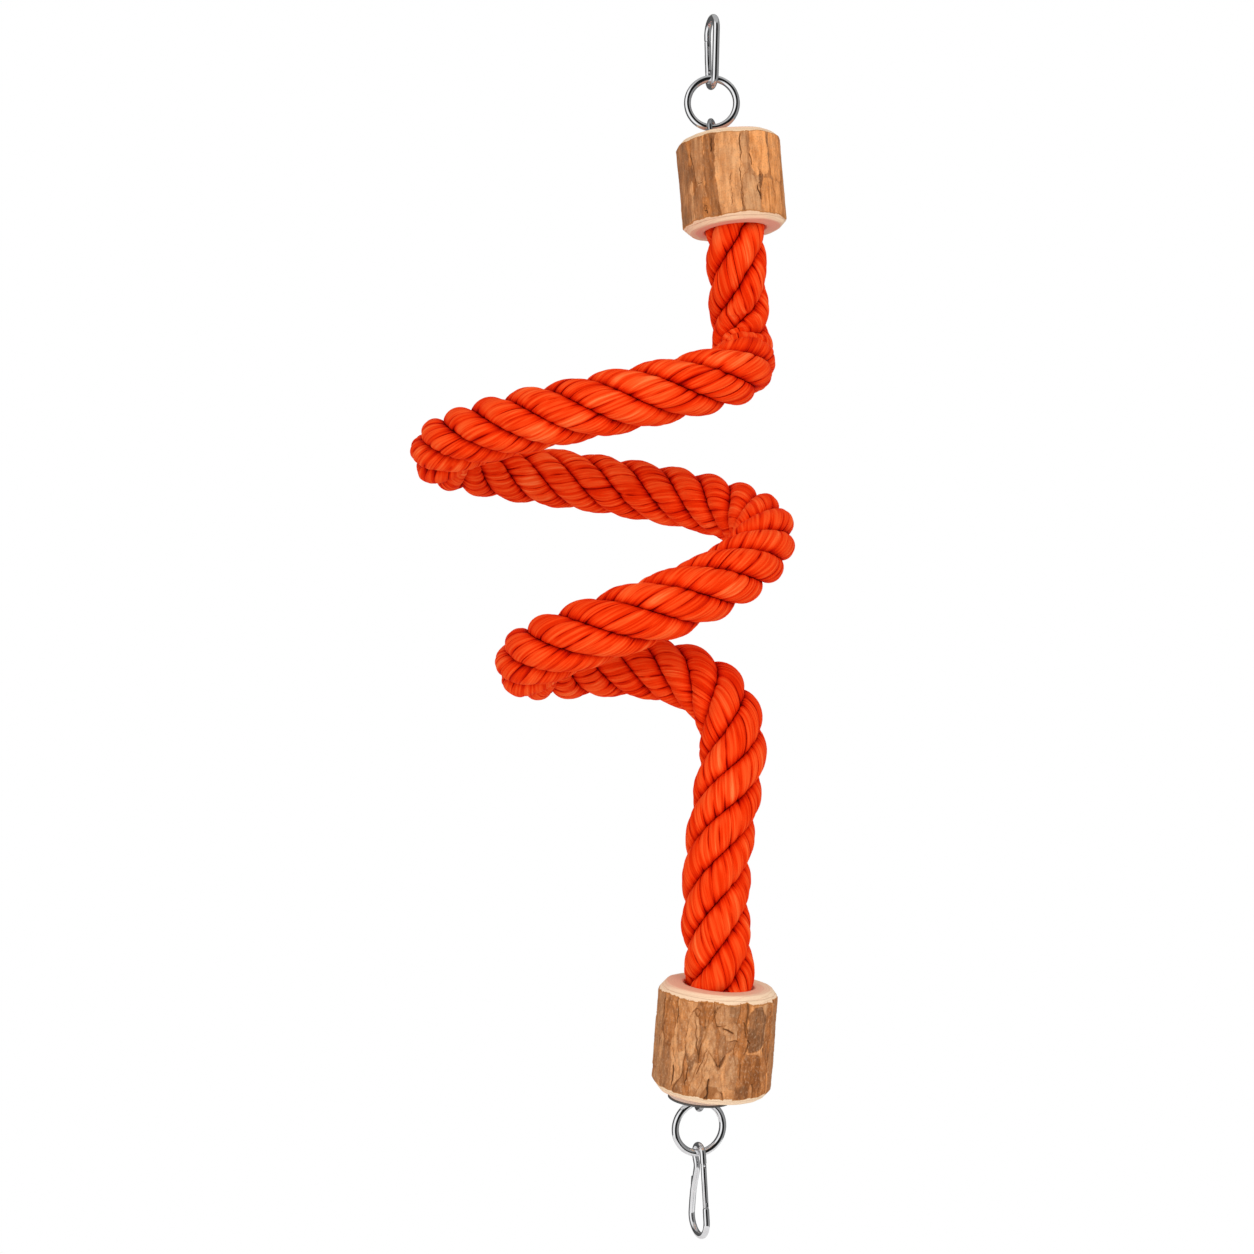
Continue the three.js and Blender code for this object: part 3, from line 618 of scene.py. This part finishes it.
def bark_surface(angle, up, radius, bark):
    """The bark's height in millimetres over a round log, how deep in a crack each point lies, its tone
    from dark to light and its warmth from grey to orange.

    Plates of different heights and tones, the chosen patches over them, fine upright ridges, and grooves:
    the cracks, the knots' rings, and the steps between plates where they are high.
    """
    seed = bark.seed
    own, other, edge, count = bark_cells(angle, up, radius, bark)
    rng = np.random.default_rng(seed + 3)
    lifts, tones, warmths = (rng.uniform(*ends, count) for ends in ((-1, 1), (0.2, 0.7), (0, 1)))
    tones = np.clip(tones + PALER * lifts, 0, 1)
    warmths = np.clip(warmths - GREYER * lifts, 0, 1)
    relief = bark.lift * lifts[own] * smooth_step(edge, 0, bark.edge)
    low, high, strength = bark.outline
    step = smooth_step(np.abs(lifts[own] - lifts[other]), low, high)
    groove = strength * step * bell(edge, STEP_WIDTH)
    tone, warm = tones[own], warmths[own]
    for n, patch in enumerate(bark.patches):
        mask = bark_patch(angle, up, radius, patch, seed + 200 + 2 * n)
        tone = tone + PATCH_TONE * mask * (patch[4] - tone)
        warm = warm + PATCH_WARMTH * mask * (patch[5] - warm)
        relief = relief * (1 - PATCH_LEVEL * mask) + patch[6] * mask
        groove = groove * (1 - PATCH_HEAL * mask) + PATCH_GROOVE * mask * (1 - mask)
    coarse, fine = bark.fine
    relief += coarse * skin_noise(angle, up, radius, RIDGE_RUN, seed + 4, waves=16)
    relief += fine * skin_noise(angle, up, radius, GRAIN_RUN, seed + 5, waves=16)
    for n, crack in enumerate(bark.cracks):
        groove = np.maximum(groove, bark_crack(angle, up, radius, crack, seed + 10 + 3 * n))
    for at, height, size in bark.knots:
        arc = ((angle - at + 180) % 360 - 180) * math.radians(1) * radius
        off = np.hypot(KNOT_NARROW * arc, up - height) + wobble(int(at) + 300, KNOT_WOBBLE, arc, up)
        relief += KNOT_RIDGE * bell(off - size, KNOT_RIDGE_WIDTH)
        groove = np.maximum(groove, KNOT_GROOVE * bell(off - KNOT_GROOVE_AT * size, KNOT_GROOVE_WIDTH))
    relief -= CRACK_DEPTH * groove
    return np.clip(relief, BARK_IN, BARK_OUT), groove, tone, warm


def log_pieces(log, bark, upright):
    """A log's bark and wood.

    The bark's outer radius is the bark's own height over a round log, or the cut rim's cone where that is
    lower, so that the bark ends in a wavy edge. The wood goes on along the cone, over both ends, down the
    eye bolt's hole and up the rope's bore.
    """
    half, radius = log.height / 2, log.bark
    theta = TAU * np.arange(LOG_COLUMNS) / LOG_COLUMNS
    ring = unit_circle(theta)
    slope = log.chamfer / log.rim
    rim = half - log.rim
    bark_end = rim + BARK_DEPTH / slope
    wave = wobble(int(radius), RIM_WOBBLE, *ring)

    z = np.linspace(-bark_end, bark_end, int(2 * bark_end / BARK_STEP))[:, None] + 0 * theta
    side = np.degrees(theta) + 0 * z
    angle = (side + 90 if upright else 90 - side) % 360
    angle = np.where(angle > 180, angle - 360, angle)
    relief, groove, tone, warm = bark_surface(angle, z if upright else -z, radius, bark)
    own = radius + relief
    cone = radius + wave - slope * (np.abs(z) - rim)
    r = np.concatenate([np.minimum(own, cone), [cone[-1] - TUCK_IN, cone[0] - TUCK_IN]])
    level = np.concatenate([z, [z[-1] - TUCK_DOWN, z[0] + TUCK_DOWN]])
    place = np.stack([r * ring[0], r * ring[1], level], -1)

    def held(grid, fill):
        return np.concatenate([grid, np.full((2, LOG_COLUMNS), fill)])

    values = {
        "crack": held(groove, 0), "tone": held(tone, 0.5), "warm": held(warm, 0.5),
        "cut_depth": held(own - cone, BARK_DEPTH), "place": place * MM,
    }
    skin = grid_piece(f"{log.prefix}_log_bark_skin", in_log(log, place), True, True, values=values)
    fitted(skin, log.body, f"{log.prefix}_log_bark")

    def circle(r, z, middle=(0, 0)):
        return np.stack([middle[0] + r * ring[0], middle[1] + r * ring[1], z + 0 * theta], -1)[None]

    def rows_between(a, b, steps):
        t = np.linspace(0, 1, steps)[:, None, None]
        return (1 - t) * a + t * b

    inside = half - log.sink - log.wall
    face = radius - log.chamfer + wave
    join = radius + wave - BARK_DEPTH
    core = join - UNDER_BARK
    recess = WASHER_RIM + END_GAP
    end = [rows_between(circle(face - CORNER_IN, half), circle(recess, half, log.eye), 12)]
    if log.sink:
        end.append(circle(recess, half - log.sink, log.eye))
    end += [circle(HOLE, z, log.eye) for z in (half - log.sink, inside)]
    place = np.concatenate([
        rows_between(circle(core, UNDER_END - bark_end), circle(core, bark_end - UNDER_END), 2),
        rows_between(circle(join, bark_end), circle(face + CORNER_IN, half - CORNER_DOWN), 6),
        *end,
        rows_between(circle(log.bore, inside), circle(log.bore, BORE_EASE - half), 3),
        rows_between(circle(log.bore + BORE_EASE, -half), circle(face - CORNER_IN, -half), 8),
        rows_between(circle(face + CORNER_IN, CORNER_DOWN - half), circle(join, -bark_end), 6),
    ])
    values = {"place": place * MM}
    wood = grid_piece(f"{log.prefix}_log_wood_block", in_log(log, place), True, True, values=values)
    wood.data.set_sharp_from_angle(angle=math.radians(50))
    fitted(wood, log.body, f"{log.prefix}_log_wood")
    return skin, wood


top_bark, top_wood = log_pieces(TOP_LOG, TOP_BARK, True)
bottom_bark, bottom_wood = log_pieces(BOTTOM_LOG, BOTTOM_BARK, False)

# Hooks, rings and eye bolts


def turned(profile, sides=96):
    """A profile of radius and height turned about +Z: (r cos a, r sin a, z)."""
    profile = np.array(profile, float)
    a = TAU * np.arange(sides)[None, :] / sides
    r, z = profile[:, :1], profile[:, 1:]
    return np.stack(np.broadcast_arrays(r * np.cos(a), r * np.sin(a), z), -1)


def eased(profile, radius, steps=4):
    """A closed outline with its corners rounded: at each corner, a quadratic curve between the points a
    radius before and after it."""
    p = np.array(profile, float)
    back, ahead = np.roll(p, 1, 0) - p, np.roll(p, -1, 0) - p
    back_length, ahead_length = (np.linalg.norm(v, axis=1)[:, None] for v in (back, ahead))
    a = (p + back * np.minimum(radius / back_length, 0.5))[:, None]
    b = (p + ahead * np.minimum(radius / ahead_length, 0.5))[:, None]
    t = np.linspace(0, 1, steps + 1)[None, :, None]
    return ((1 - t) ** 2 * a + 2 * t * (1 - t) * p[:, None] + t**2 * b).reshape(-1, 2)


def bent_ring(radius, wire, turns=128, sides=28):
    """A torus in the XZ plane: ((R + r cos b) cos a, r sin b, (R + r cos b) sin a)."""
    a = TAU * np.arange(turns)[:, None] / turns
    b = TAU * np.arange(sides)[None, :] / sides
    reach = radius + wire * np.cos(b)
    return np.stack(np.broadcast_arrays(reach * np.cos(a), wire * np.sin(b), reach * np.sin(a)), -1)


def neck_pinch(hook, up):
    """How far the spine is pinched in at a distance up from the narrow bow: a bell curve, steeper below."""
    past = up - NECK_AT
    return hook.neck * bell(past, np.where(past < 0, NECK_NEAR, NECK_FAR))


def hook_layout(hook):
    """The hook's centreline in the XZ plane, from the hinge round the narrow bow at its foot, up the spine,
    round the wide bow and down to the nose, with the hinge's place and how far both sides slope."""
    low, high = hook.narrow, hook.length - hook.wire - hook.wide
    slope = math.asin((hook.wide - hook.narrow) / (high - low))
    out = np.array([-math.cos(slope), -math.sin(slope)])
    along = np.array([-math.sin(slope), math.cos(slope)])
    gate_side = (high - low) * math.cos(slope)
    pivot = [0, low] + out * hook.narrow + along * hook.hinge
    hinge_end = pivot - along * (hook.gate / 2 + END_GAP)
    nose = [0, high] + out * hook.wide - along * hook.nose
    foot = [0, low] + hook.narrow * unit_circle(np.linspace(np.pi + slope, TAU - slope, 60)).T
    head = [0, high] + hook.wide * unit_circle(np.linspace(-slope, np.pi + slope, 80)).T
    share = np.linspace(0, 1, 80)[1:-1, None]
    spine = foot[-1] + (head[0] - foot[-1]) * share
    spine[:, :1] -= neck_pinch(hook, share * gate_side)
    middle = (hook.wide + hook.narrow) / 2 - neck_pinch(hook, gate_side / 2)
    flat = np.concatenate([[hinge_end], foot, spine, head, [nose]])
    return Sizes(
        line=np.stack([flat[:, 0], 0 * flat[:, 0], flat[:, 1]], 1),
        pivot=np.array([pivot[0], 0, pivot[1]]),
        slope=math.degrees(slope),
        gate_length=gate_side - hook.hinge - hook.nose - END_GAP,
        spine_middle=np.array([middle, 0, (low + high) / 2]),
    )


def plate(width, thick, foot, head, corner=0.5):
    """A flat bar along +Z with eased edges: a rounded box whose two ends draw in a little."""
    x, y = width / 2, thick / 2
    section = eased([[-x, -y], [x, -y], [x, y], [-x, y]], corner)
    z = np.array([foot, foot + corner, head - corner, head])[:, None]
    size = np.array([1 - corner / thick, 1, 1, 1 - corner / thick])[:, None]
    x, y = size * section[:, 0], size * section[:, 1]
    return np.stack([x, y, z + 0 * x], -1)


def hook_body(hook, turn, at):
    """The bent wire with its hinge and nose tongues, a cup round the gate's ball-shaped heel, and the pad
    on its spine where it has one. The cup is turned from an arc about the hinge."""
    layout = hook_layout(hook)
    line, s = evenly(layout.line, WIRE_STEP)
    ends = np.minimum(s, s[-1] - s)
    size = 1 - END_DRAW * np.clip(1 - ends / END_LENGTH, 0, 1) ** 2
    gate_side = turn_y(-layout.slope)
    hinge_foot = -hook.gate / 2 - END_GAP - ROOT
    nose_foot = layout.gate_length + END_GAP - hook.nose_reach
    nose_head = nose_foot + hook.nose_reach + ROOT
    hinge_tongue = plate(2 * hook.pin, hook.tongue, hinge_foot, TONGUE_TOP * hook.pin)
    nose_tongue = plate(hook.nose_width, hook.nose_tongue, nose_foot, nose_head)
    heel = hook.gate / 2
    reach = heel + GAP
    arc = np.linspace(np.pi / 2 - 0.005, math.asin(CUP_RIM * heel / reach), 10)
    cup = reach * unit_circle(-arc).T
    outer = hook.wire / 2 - WIRE_EASE
    cup = turned(np.concatenate([cup, [[outer, -CUP_RIM * heel], [outer, hinge_foot]]]), WIRE_SIDES)
    grids = [swept(line, round_section(outer, WIRE_SIDES), size)]
    grids += [placed(grid, gate_side, layout.pivot) for grid in (hinge_tongue, nose_tongue, cup)]
    if hook.pad:
        spine = layout.spine_middle + [PAD_PROUD, 0, 0]
        pad = plate(hook.wire, PAD_WIDTH, -hook.pad / 2, hook.pad / 2, PAD_EASE)
        grids.append(placed(pad, turn_y(layout.slope), spine))
    shells = [grid_piece(f"shell_{n}", placed(g, turn, at), wrap=True) for n, g in enumerate(grids)]
    return welded(joined(f"{hook.prefix}_bent_wire", shells), sharp=50)


def hook_rivet(hook, turn, at):
    """A pin across the gate whose radius shrinks as a quarter ellipse at each end."""
    half, r = hook.gate / 2 - GAP, hook.pin / 2
    t = np.linspace(0, np.pi / 2, 7)
    dome = np.stack([r * np.cos(t), half - DOME_FOOT + DOME_RISE * np.sin(t)], 1)
    dome[-1, 0] = POLE
    profile = np.concatenate([dome[::-1] * [1, -1], dome])
    across = np.array([[1, 0, 0], [0, 0, 1], [0, -1, 0]])
    grid = placed(placed(turned(profile, 24), across, hook_layout(hook).pivot), turn, at)
    return grid_piece(f"{hook.prefix}_domed_rivet", grid, wrap=True)


def smooth_copy(node, name):
    """A node's own shape as a new piece, with its points merged and its round faces shaded smooth."""
    mesh = bpy.data.objects[node].data.copy()
    mesh.materials.clear()
    mesh.name = name
    mesh.shade_smooth()
    return welded(new_object(name, mesh), sharp=32)


def eye_bolt(log):
    """An eye above a flared collar and a shank that ends in a thread.

    The eye is a torus. The rest is a turned outline: out from the eye's foot to the collar, in to the
    shank, and down to the thread, whose ridges are a wave along the shank.
    """
    shoulder = washer_seat(log) + [0, 0, SEAT_THICK]
    foot = -log.wall - SHANK_PAST_WALL
    z = np.linspace(foot + 1, -SEAT_THICK - log.wall + 6, 120)[:, None]
    wave = THREAD_WAVE * np.cos(TAU * z / THREAD_PITCH)
    thread = np.concatenate([SHANK - THREAD_WAVE + wave, z], 1)
    outline = np.concatenate([
        [[POLE, foot], [SHANK - 1, foot]],
        thread,
        [[SHANK, z[-1, 0] + 0.3], [SHANK, 0], [COLLAR, 0.02], [COLLAR, 0.6], [COLLAR - 0.5, 1.6]],
        [[SHANK, COLLAR_HEIGHT], [SHANK - 1.2, COLLAR_HEIGHT + 1.2], [POLE, COLLAR_HEIGHT + 1.3]],
    ])
    eye_turn = turn_z(90 - EYE_YAW)
    eye = placed(bent_ring(EYE_RADIUS, EYE_WIRE, 72, 24), eye_turn, shoulder + [0, 0, EYE_OUTER])
    stem = placed(turned(outline, 32), eye_turn, shoulder)
    shells = [
        grid_piece("eye", in_log(log, eye), wrap=True, close=True),
        grid_piece("stem", in_log(log, stem), wrap=True),
    ]
    return welded(joined(f"{log.prefix}_eye", shells), sharp=40)


def washer(name, outline, log):
    """A turned ring round the eye bolt, from a closed outline of radius and height above its seat."""
    grid = turned(eased(outline, 0.5))
    out = {"out": np.hypot(grid[..., 0], grid[..., 1]) * MM}
    return grid_piece(name, in_log(log, grid + washer_seat(log)), True, True, values=out)


top_hook_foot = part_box("top_hook_body")[0][2] / MM + TOP_HOOK.wire / 2
bottom_hook_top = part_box("bottom_hook_body")[1][2] / MM - BOTTOM_HOOK.wire / 2
chromed, eyes, steeled, dished = [], [], [], []
for hook, turn, at, body in (
    (TOP_HOOK, turn_z(TOP_HOOK_YAW - 90), [0, 0, top_hook_foot], "hook"),
    (BOTTOM_HOOK, turn_z(BOTTOM_HOOK_YAW + 90) @ FLIP, [*lower_eye[:2], bottom_hook_top], "clip"),
):
    wire = hook_body(hook, turn, at)
    fitted(wire, body, f"{hook.prefix}_body")
    gate = smooth_copy(f"{hook.prefix}_gate", f"{hook.prefix}_sprung_gate")
    fitted(gate, f"{body}_gate", f"{hook.prefix}_gate")
    rivet = hook_rivet(hook, turn, at)
    fitted(rivet, body, f"{hook.prefix}_rivet")
    chromed += [wire, gate]
    steeled.append(rivet)

for name, yaw, body in (("top_ring", 0, "upper_ring"), ("bottom_ring", BOTTOM_RING_YAW, "lower_ring")):
    low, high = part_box(name)
    grid = placed(bent_ring(RING_RADIUS, RING_WIRE), turn_z(yaw), (np.array(low) + np.array(high)) / 2 / MM)
    ring = grid_piece(f"{name}_round_bar", grid, wrap=True, close=True)
    fitted(ring, body, name)
    chromed.append(ring)

flat_outline = [[HOLE, GAP], [WASHER_RIM, GAP], [WASHER_RIM, GAP + SHEET], [HOLE, GAP + SHEET]]
dish_foot, dish_top = GAP + DISH_DEPTH, GAP + DISH_DEPTH + SHEET
dish_outline = [
    [HOLE, GAP], [DISH_SEAT, GAP], [DISH_RIM, dish_foot], [DISH_RIM, dish_top],
    [DISH_RIM - DISH_LIP, dish_top], [DISH_SEAT - DISH_LIP, GAP + SHEET], [HOLE, GAP + SHEET],
]
for log, node, outline, slot, same in (
    (TOP_LOG, "top_eye_washer", flat_outline, "steel", steeled),
    (BOTTOM_LOG, "bottom_dished_washer", dish_outline, "chrome", dished),
):
    eye = eye_bolt(log)
    fitted(eye, log.body, f"{log.prefix}_eye_bolt")
    eyes.append(eye)
    seat = washer(f"{node}_turned", outline, log)
    fitted(seat, log.body, node)
    same.append(seat)

# Finishes


def new_finish(name, roughness, specular=0.5):
    """A new node material with its tree and its shader."""
    material = bpy.data.materials.new(name)
    material.use_nodes = True
    shader = material.node_tree.nodes["Principled BSDF"]
    shader.inputs["Roughness"].default_value = roughness
    shader.inputs["Specular IOR Level"].default_value = specular
    return material, material.node_tree, shader


def add_node(kind, inputs=None, tree=None, **settings):
    """Adds a shader node, and sets or links its inputs by name or number. Its tree is the one its links
    come from, unless one is given."""
    inputs = inputs or {}
    links = {key: value for key, value in inputs.items() if isinstance(value, bpy.types.NodeSocket)}
    tree = tree or next(iter(links.values())).id_data
    node = tree.nodes.new(f"ShaderNode{kind}")
    for key, value in settings.items():
        setattr(node, key, value)
    for key, value in inputs.items():
        if key in links:
            tree.links.new(value, node.inputs[key])
        else:
            node.inputs[key].default_value = value
    return node


def feed(output, node, name):
    """Links an output to a node's input."""
    output.id_data.links.new(output, node.inputs[name])


def held_value(tree, name, output="Fac"):
    """A piece's own attribute."""
    return add_node("Attribute", tree=tree, attribute_name=name).outputs[output]


def object_place(tree):
    """Object coordinates."""
    return add_node("TexCoord", tree=tree).outputs["Object"]


def noise(vector, scale, detail=3, roughness=0.5):
    """Noise from 0 to 1, at one scale or at one for each direction."""
    if isinstance(scale, tuple):
        vector, scale = add_node("Mapping", {"Vector": vector, "Scale": scale}).outputs["Vector"], 1
    inputs = {"Vector": vector, "Scale": scale, "Detail": detail, "Roughness": roughness}
    return add_node("TexNoise", inputs).outputs["Fac"]


def math_node(operation, *values, clamp=False):
    """A sum, product or other function of numbers."""
    return add_node("Math", dict(enumerate(values)), operation=operation, use_clamp=clamp).outputs[0]


def stepped(value, low, high, start=0, end=1):
    """Maps a range to another, with an even S and no overshoot."""
    inputs = {"Value": value, "From Min": low, "From Max": high, "To Min": start, "To Max": end}
    return add_node("MapRange", inputs, interpolation_type="SMOOTHSTEP").outputs["Result"]


def swayed(value, by, amount, clamp=False):
    """A value plus noise, from minus to plus an amount."""
    return math_node("ADD", value, stepped(by, 0.3, 0.7, -amount, amount), clamp=clamp)


def ramp(factor, stops):
    """Colours over a range, as pairs of place and colour."""
    node = add_node("ValToRGB", {"Fac": factor})
    elements = node.color_ramp.elements
    while len(elements) < len(stops):
        elements.new(0.5)
    for element, (at, colour) in zip(elements, stops):
        element.position = at
        element.color = (*colour, 1)
    return node.outputs["Color"]


def mixed(factor, a, b):
    """Two colours mixed."""
    a, b = (c if isinstance(c, bpy.types.NodeSocket) else (*c, 1) for c in (a, b))
    return add_node("Mix", {0: factor, 6: a, 7: b}, data_type="RGBA").outputs[2]


def bumped(shader, height, strength, distance):
    """Fine relief on a shader."""
    bump = add_node("Bump", {"Height": height, "Strength": strength, "Distance": distance})
    feed(bump.outputs["Normal"], shader, "Normal")


def distance_from(place, centre):
    """How far a place is from an upright axis."""
    inputs = {"Vector": place, "Location": (-centre[0] * MM, -centre[1] * MM, 0), "Scale": (1, 1, 0)}
    flat = add_node("Mapping", inputs).outputs["Vector"]
    return add_node("VectorMath", {0: flat}, operation="LENGTH").outputs["Value"]


def rope_finish():
    """Dyed orange-red cotton with fibres along each yarn, and painted light on it: painted shade in the
    creases, near each yarn's edges and between strands, and painted highlights on the crowns and in broad
    streaks along the yarns."""
    material, tree, shader = new_finish("orange_red_cotton", 0.8, 0.02)
    uv = add_node("UVMap", tree=tree, uv_map="along").outputs["UV"]
    fine = noise(uv, (150, 3, 1), 4, 0.6)
    broad = noise(uv, (24, 1.2, 1), 2)
    # Painted light: low crown between strands, creases and hollows get painted shade, high crowns get
    # painted highlights; the broad streaks are partly painted highlight and partly random tone; shade is a
    # random tone for each yarn
    light = stepped(held_value(tree, "crown"), 0.58, 0.95, 0.1, 0.73)
    for key, amount in (("hollow", -0.2), ("crease", -0.55), ("shade", 0.07)):
        light = math_node("MULTIPLY_ADD", held_value(tree, key), amount, light)
    light = swayed(swayed(light, broad, 0.15), fine, 0.07, clamp=True)
    feed(ramp(light, ROPE_SHADE_TO_HIGHLIGHT), shader, "Base Color")
    bumped(shader, math_node("MULTIPLY_ADD", fine, 0.35, broad), 0.35, 0.0006)
    return material


def wood_colour(tree, wood):
    """The colour of sawn wood, with growth rings about the pith and pale sapwood outside the heart, and
    its pores."""
    place = held_value(tree, "place", "Vector")
    out = distance_from(place, wood.pith)
    out = math_node("MULTIPLY_ADD", noise(place, 22, 2), 0.006, out)
    ring = math_node("SINE", math_node("MULTIPLY", out, TAU / (GROWTH_RING * MM)))
    pores = noise(place, 900, 2)
    sap_from, sap_to = ((wood.radius - depth) * MM for depth in SAPWOOD)
    colour = mixed(stepped(out, sap_from, sap_to), wood.heart, wood.sap)
    colour = mixed(stepped(ring, 0.55, 1, 0, 0.24), colour, RING_LINE)
    return mixed(stepped(pores, 0.4, 0.8, 0, 0.22), colour, PORES), pores


def wood_finish(name, wood):
    """Sawn and sanded wood."""
    material, tree, shader = new_finish(name, 0.62, 0.25)
    colour, pores = wood_colour(tree, wood)
    feed(colour, shader, "Base Color")
    bumped(shader, pores, 0.25, 0.0003)
    return material


def bark_finish(name, wood, grain, specks):
    """Bark from grey-brown to orange with grit and specks, cracks whose near-black is partly their own dark
    colour and partly painted shade in the groove, and the wood and the brown inner bark where the rim is
    cut."""
    material, tree, shader = new_finish(name, 0.8, 0.15)
    keys = "tone", "warm", "crack", "cut_depth"
    tone, warm, crack, cut = (held_value(tree, key) for key in keys)
    place = held_value(tree, "place", "Vector")
    streaks = noise(place, grain, 4, 0.6)
    grit = noise(place, 560, 3, 0.65)
    speck = noise(place, (430, 430, 360), 2, 0.6)
    shade = swayed(swayed(tone, streaks, 0.2), noise(place, 60, 3), 0.1, clamp=True)
    warmth = swayed(warm, noise(place, 90, 3, 0.6), 0.22, clamp=True)
    bark = mixed(warmth, ramp(shade, PALE_BARK), ramp(shade, RUST_BARK))
    for value, low, high, share, colour in (
        (grit, 0.48, 0.74, 0.4, BARK_GRIT), (speck, 0.5, 0.74, specks, BARK_SPECK),
        (crack, 0.1, 0.5, 0.6, BARK_RUST_EDGE), (crack, 0.45, 0.95, 0.92, BARK_CRACK_SHADE),
    ):
        bark = mixed(stepped(value, low, high, 0, share), bark, colour)
    colour, _ = wood_colour(tree, wood)
    rim = mixed(stepped(cut, 0.5, 1.3), BARK_RIM, colour)
    feed(mixed(stepped(cut, -0.12, 0.12), bark, rim), shader, "Base Color")
    bumped(shader, math_node("MULTIPLY_ADD", grit, 0.6, streaks), 0.6, 0.0008)
    return material


def metal_finish(name, colour, low, high):
    """Polished or plain metal, whose gloss and tone vary a little."""
    material, tree, shader = new_finish(name, low)
    shader.inputs["Metallic"].default_value = 1
    cloud = noise(object_place(tree), 70, 3)
    feed(stepped(cloud, 0.3, 0.7, low, high), shader, "Roughness")
    dull = tuple(0.88 * c for c in colour)
    feed(mixed(stepped(cloud, 0.35, 0.75), colour, dull), shader, "Base Color")
    return material


def dish_finish():
    """The chrome dish coloured as it looks: its pale face a painted reflection of the white room, and its
    rim a painted dark edge.
    """
    material, tree, shader = new_finish("plate_painted_reflection", 0.45)
    edge = stepped(held_value(tree, "out"), (DISH_RIM - 1.6) * MM, (DISH_RIM - 0.7) * MM)
    feed(mixed(edge, DISH_PAINTED_WHITE, DISH_PAINTED_DARK_EDGE), shader, "Base Color")
    return material


def glue_finish():
    """Cured glue: pale and slightly uneven."""
    material, tree, shader = new_finish("cured_glue", 0.4)
    cloud = noise(object_place(tree), 120, 4)
    feed(ramp(cloud, GLUE_TONES), shader, "Base Color")
    bumped(shader, cloud, 0.3, 0.0004)
    return material


zinc_steel = metal_finish("zinc_plated_steel", (0.62, 0.62, 0.63), 0.28, 0.42)
cured_glue = glue_finish()
for pieces, finish in (
    (strands, rope_finish()),
    ([top_wood], wood_finish("top_log_end_grain", TOP_WOOD)),
    ([bottom_wood], wood_finish("bottom_log_end_grain", BOTTOM_WOOD)),
    ([top_bark], bark_finish("smooth_orange_bark", TOP_WOOD, (260, 260, 40), 0.15)),
    ([bottom_bark], bark_finish("flaky_brown_bark", BOTTOM_WOOD, (240, 240, 90), 0.32)),
    (chromed, metal_finish("bright_chrome", (0.8, 0.8, 0.81), 0.04, 0.07)),
    (eyes, metal_finish("polished_steel", (0.42, 0.42, 0.43), 0.1, 0.16)),
    (dished, dish_finish()),
    (steeled + [core_wire], zinc_steel),
):
    for piece in pieces:
        piece.data.materials.append(finish)

inner = dict.fromkeys(["hook_plunger", "hook_spring", "inner_washer", "eye_nut"], zinc_steel)
inner["glue_plug"] = cured_glue
for name, finish in inner.items():
    for end in ("top", "bottom"):
        for material_slot in bpy.data.objects[f"{end}_{name}"].material_slots:
            material_slot.material = finish

# Stage


def floor_finish():
    """A pale floor that keeps the toy's shadow and turns to plain white towards its edge."""
    material, tree, shader = new_finish("pale_floor", 0.9, 0)
    out = distance_from(object_place(tree), (CAMERA_AT[0], 0))
    shader.inputs["Base Color"].default_value = FLOOR_GREY
    white = add_node("Emission", {"Color": WHITE, "Strength": 1}, tree)
    edge = stepped(out, FLOOR_FADE * MM, FLOOR_RADIUS * MM)
    mix = add_node("MixShader", {0: edge, 1: shader.outputs[0], 2: white.outputs[0]})
    feed(mix.outputs[0], tree.nodes["Material Output"], "Surface")
    return material


def studio_world():
    """Soft even light for the toy. The camera sees plain white. Metal sees a grey room that changes with the
    compass: a white panel at the front left, a black one at the front right, and dark corners behind."""
    world = bpy.data.worlds.new("white_studio")
    world.use_nodes = True
    tree = world.node_tree
    back = tree.nodes["Background"]
    back.inputs["Color"].default_value = WHITE
    back.inputs["Strength"].default_value = WORLD_LIGHT
    rays = add_node("LightPath", tree=tree).outputs
    way = add_node("TexCoord", tree=tree).outputs["Generated"]
    x, y, z = add_node("SeparateXYZ", {0: way}).outputs
    compass = math_node("ARCTAN2", x, math_node("MULTIPLY", y, -1))
    compass = math_node("MULTIPLY_ADD", compass, 0.5 / math.pi, 0.5)
    room = ramp(compass, [(at, (level,) * 3) for at, level in ROOM])
    room = mixed(stepped(z, 0.6, 0.8), room, (ROOM_CEILING,) * 3)
    room = mixed(stepped(z, -0.6, -0.8), room, (ROOM_FLOOR,) * 3)
    seen = add_node("Background", {"Color": WHITE, "Strength": 1}, tree)
    mirrored = add_node("Background", {"Color": room, "Strength": ROOM_LIGHT})
    inputs = {0: rays["Is Glossy Ray"], 1: back.outputs[0], 2: mirrored.outputs[0]}
    lit = add_node("MixShader", inputs)
    plain = math_node("MAXIMUM", rays["Is Camera Ray"], rays["Is Transmission Ray"])
    last = add_node("MixShader", {0: plain, 1: lit.outputs[0], 2: seen.outputs[0]})
    feed(last.outputs[0], tree.nodes["World Output"], "Surface")
    return world


def soft_light(name, at, size, power):
    """A square area light turned to the toy's middle, which metal doesn't mirror."""
    data = bpy.data.lights.new(name, "AREA")
    data.shape = "SQUARE"
    data.size = size
    data.energy = power
    light = new_object(name, data)
    light.location = at
    light.visible_glossy = False
    light.rotation_euler = (Vector(LIGHT_AIM) - Vector(at)).to_track_quat("-Z", "Y").to_euler()


floor_rings = turned([[r, FLOOR_Z] for r in np.linspace(0.5, FLOOR_RADIUS, 12)], 64)
floor = grid_piece("floor", floor_rings + [CAMERA_AT[0], 0, 0], wrap=True, caps=False)
floor.data.materials.append(floor_finish())
bpy.context.scene.world = studio_world()
bpy.context.scene.view_settings.view_transform = "Standard"
soft_light("front_key", (0.9, -2.6, 0.5), 1.6, 32)
soft_light("left_fill", (-2.2, -1.6, -0.6), 1.4, 12)
soft_light("low_fill", (0.2, -2, -2.4), 1.4, 10)
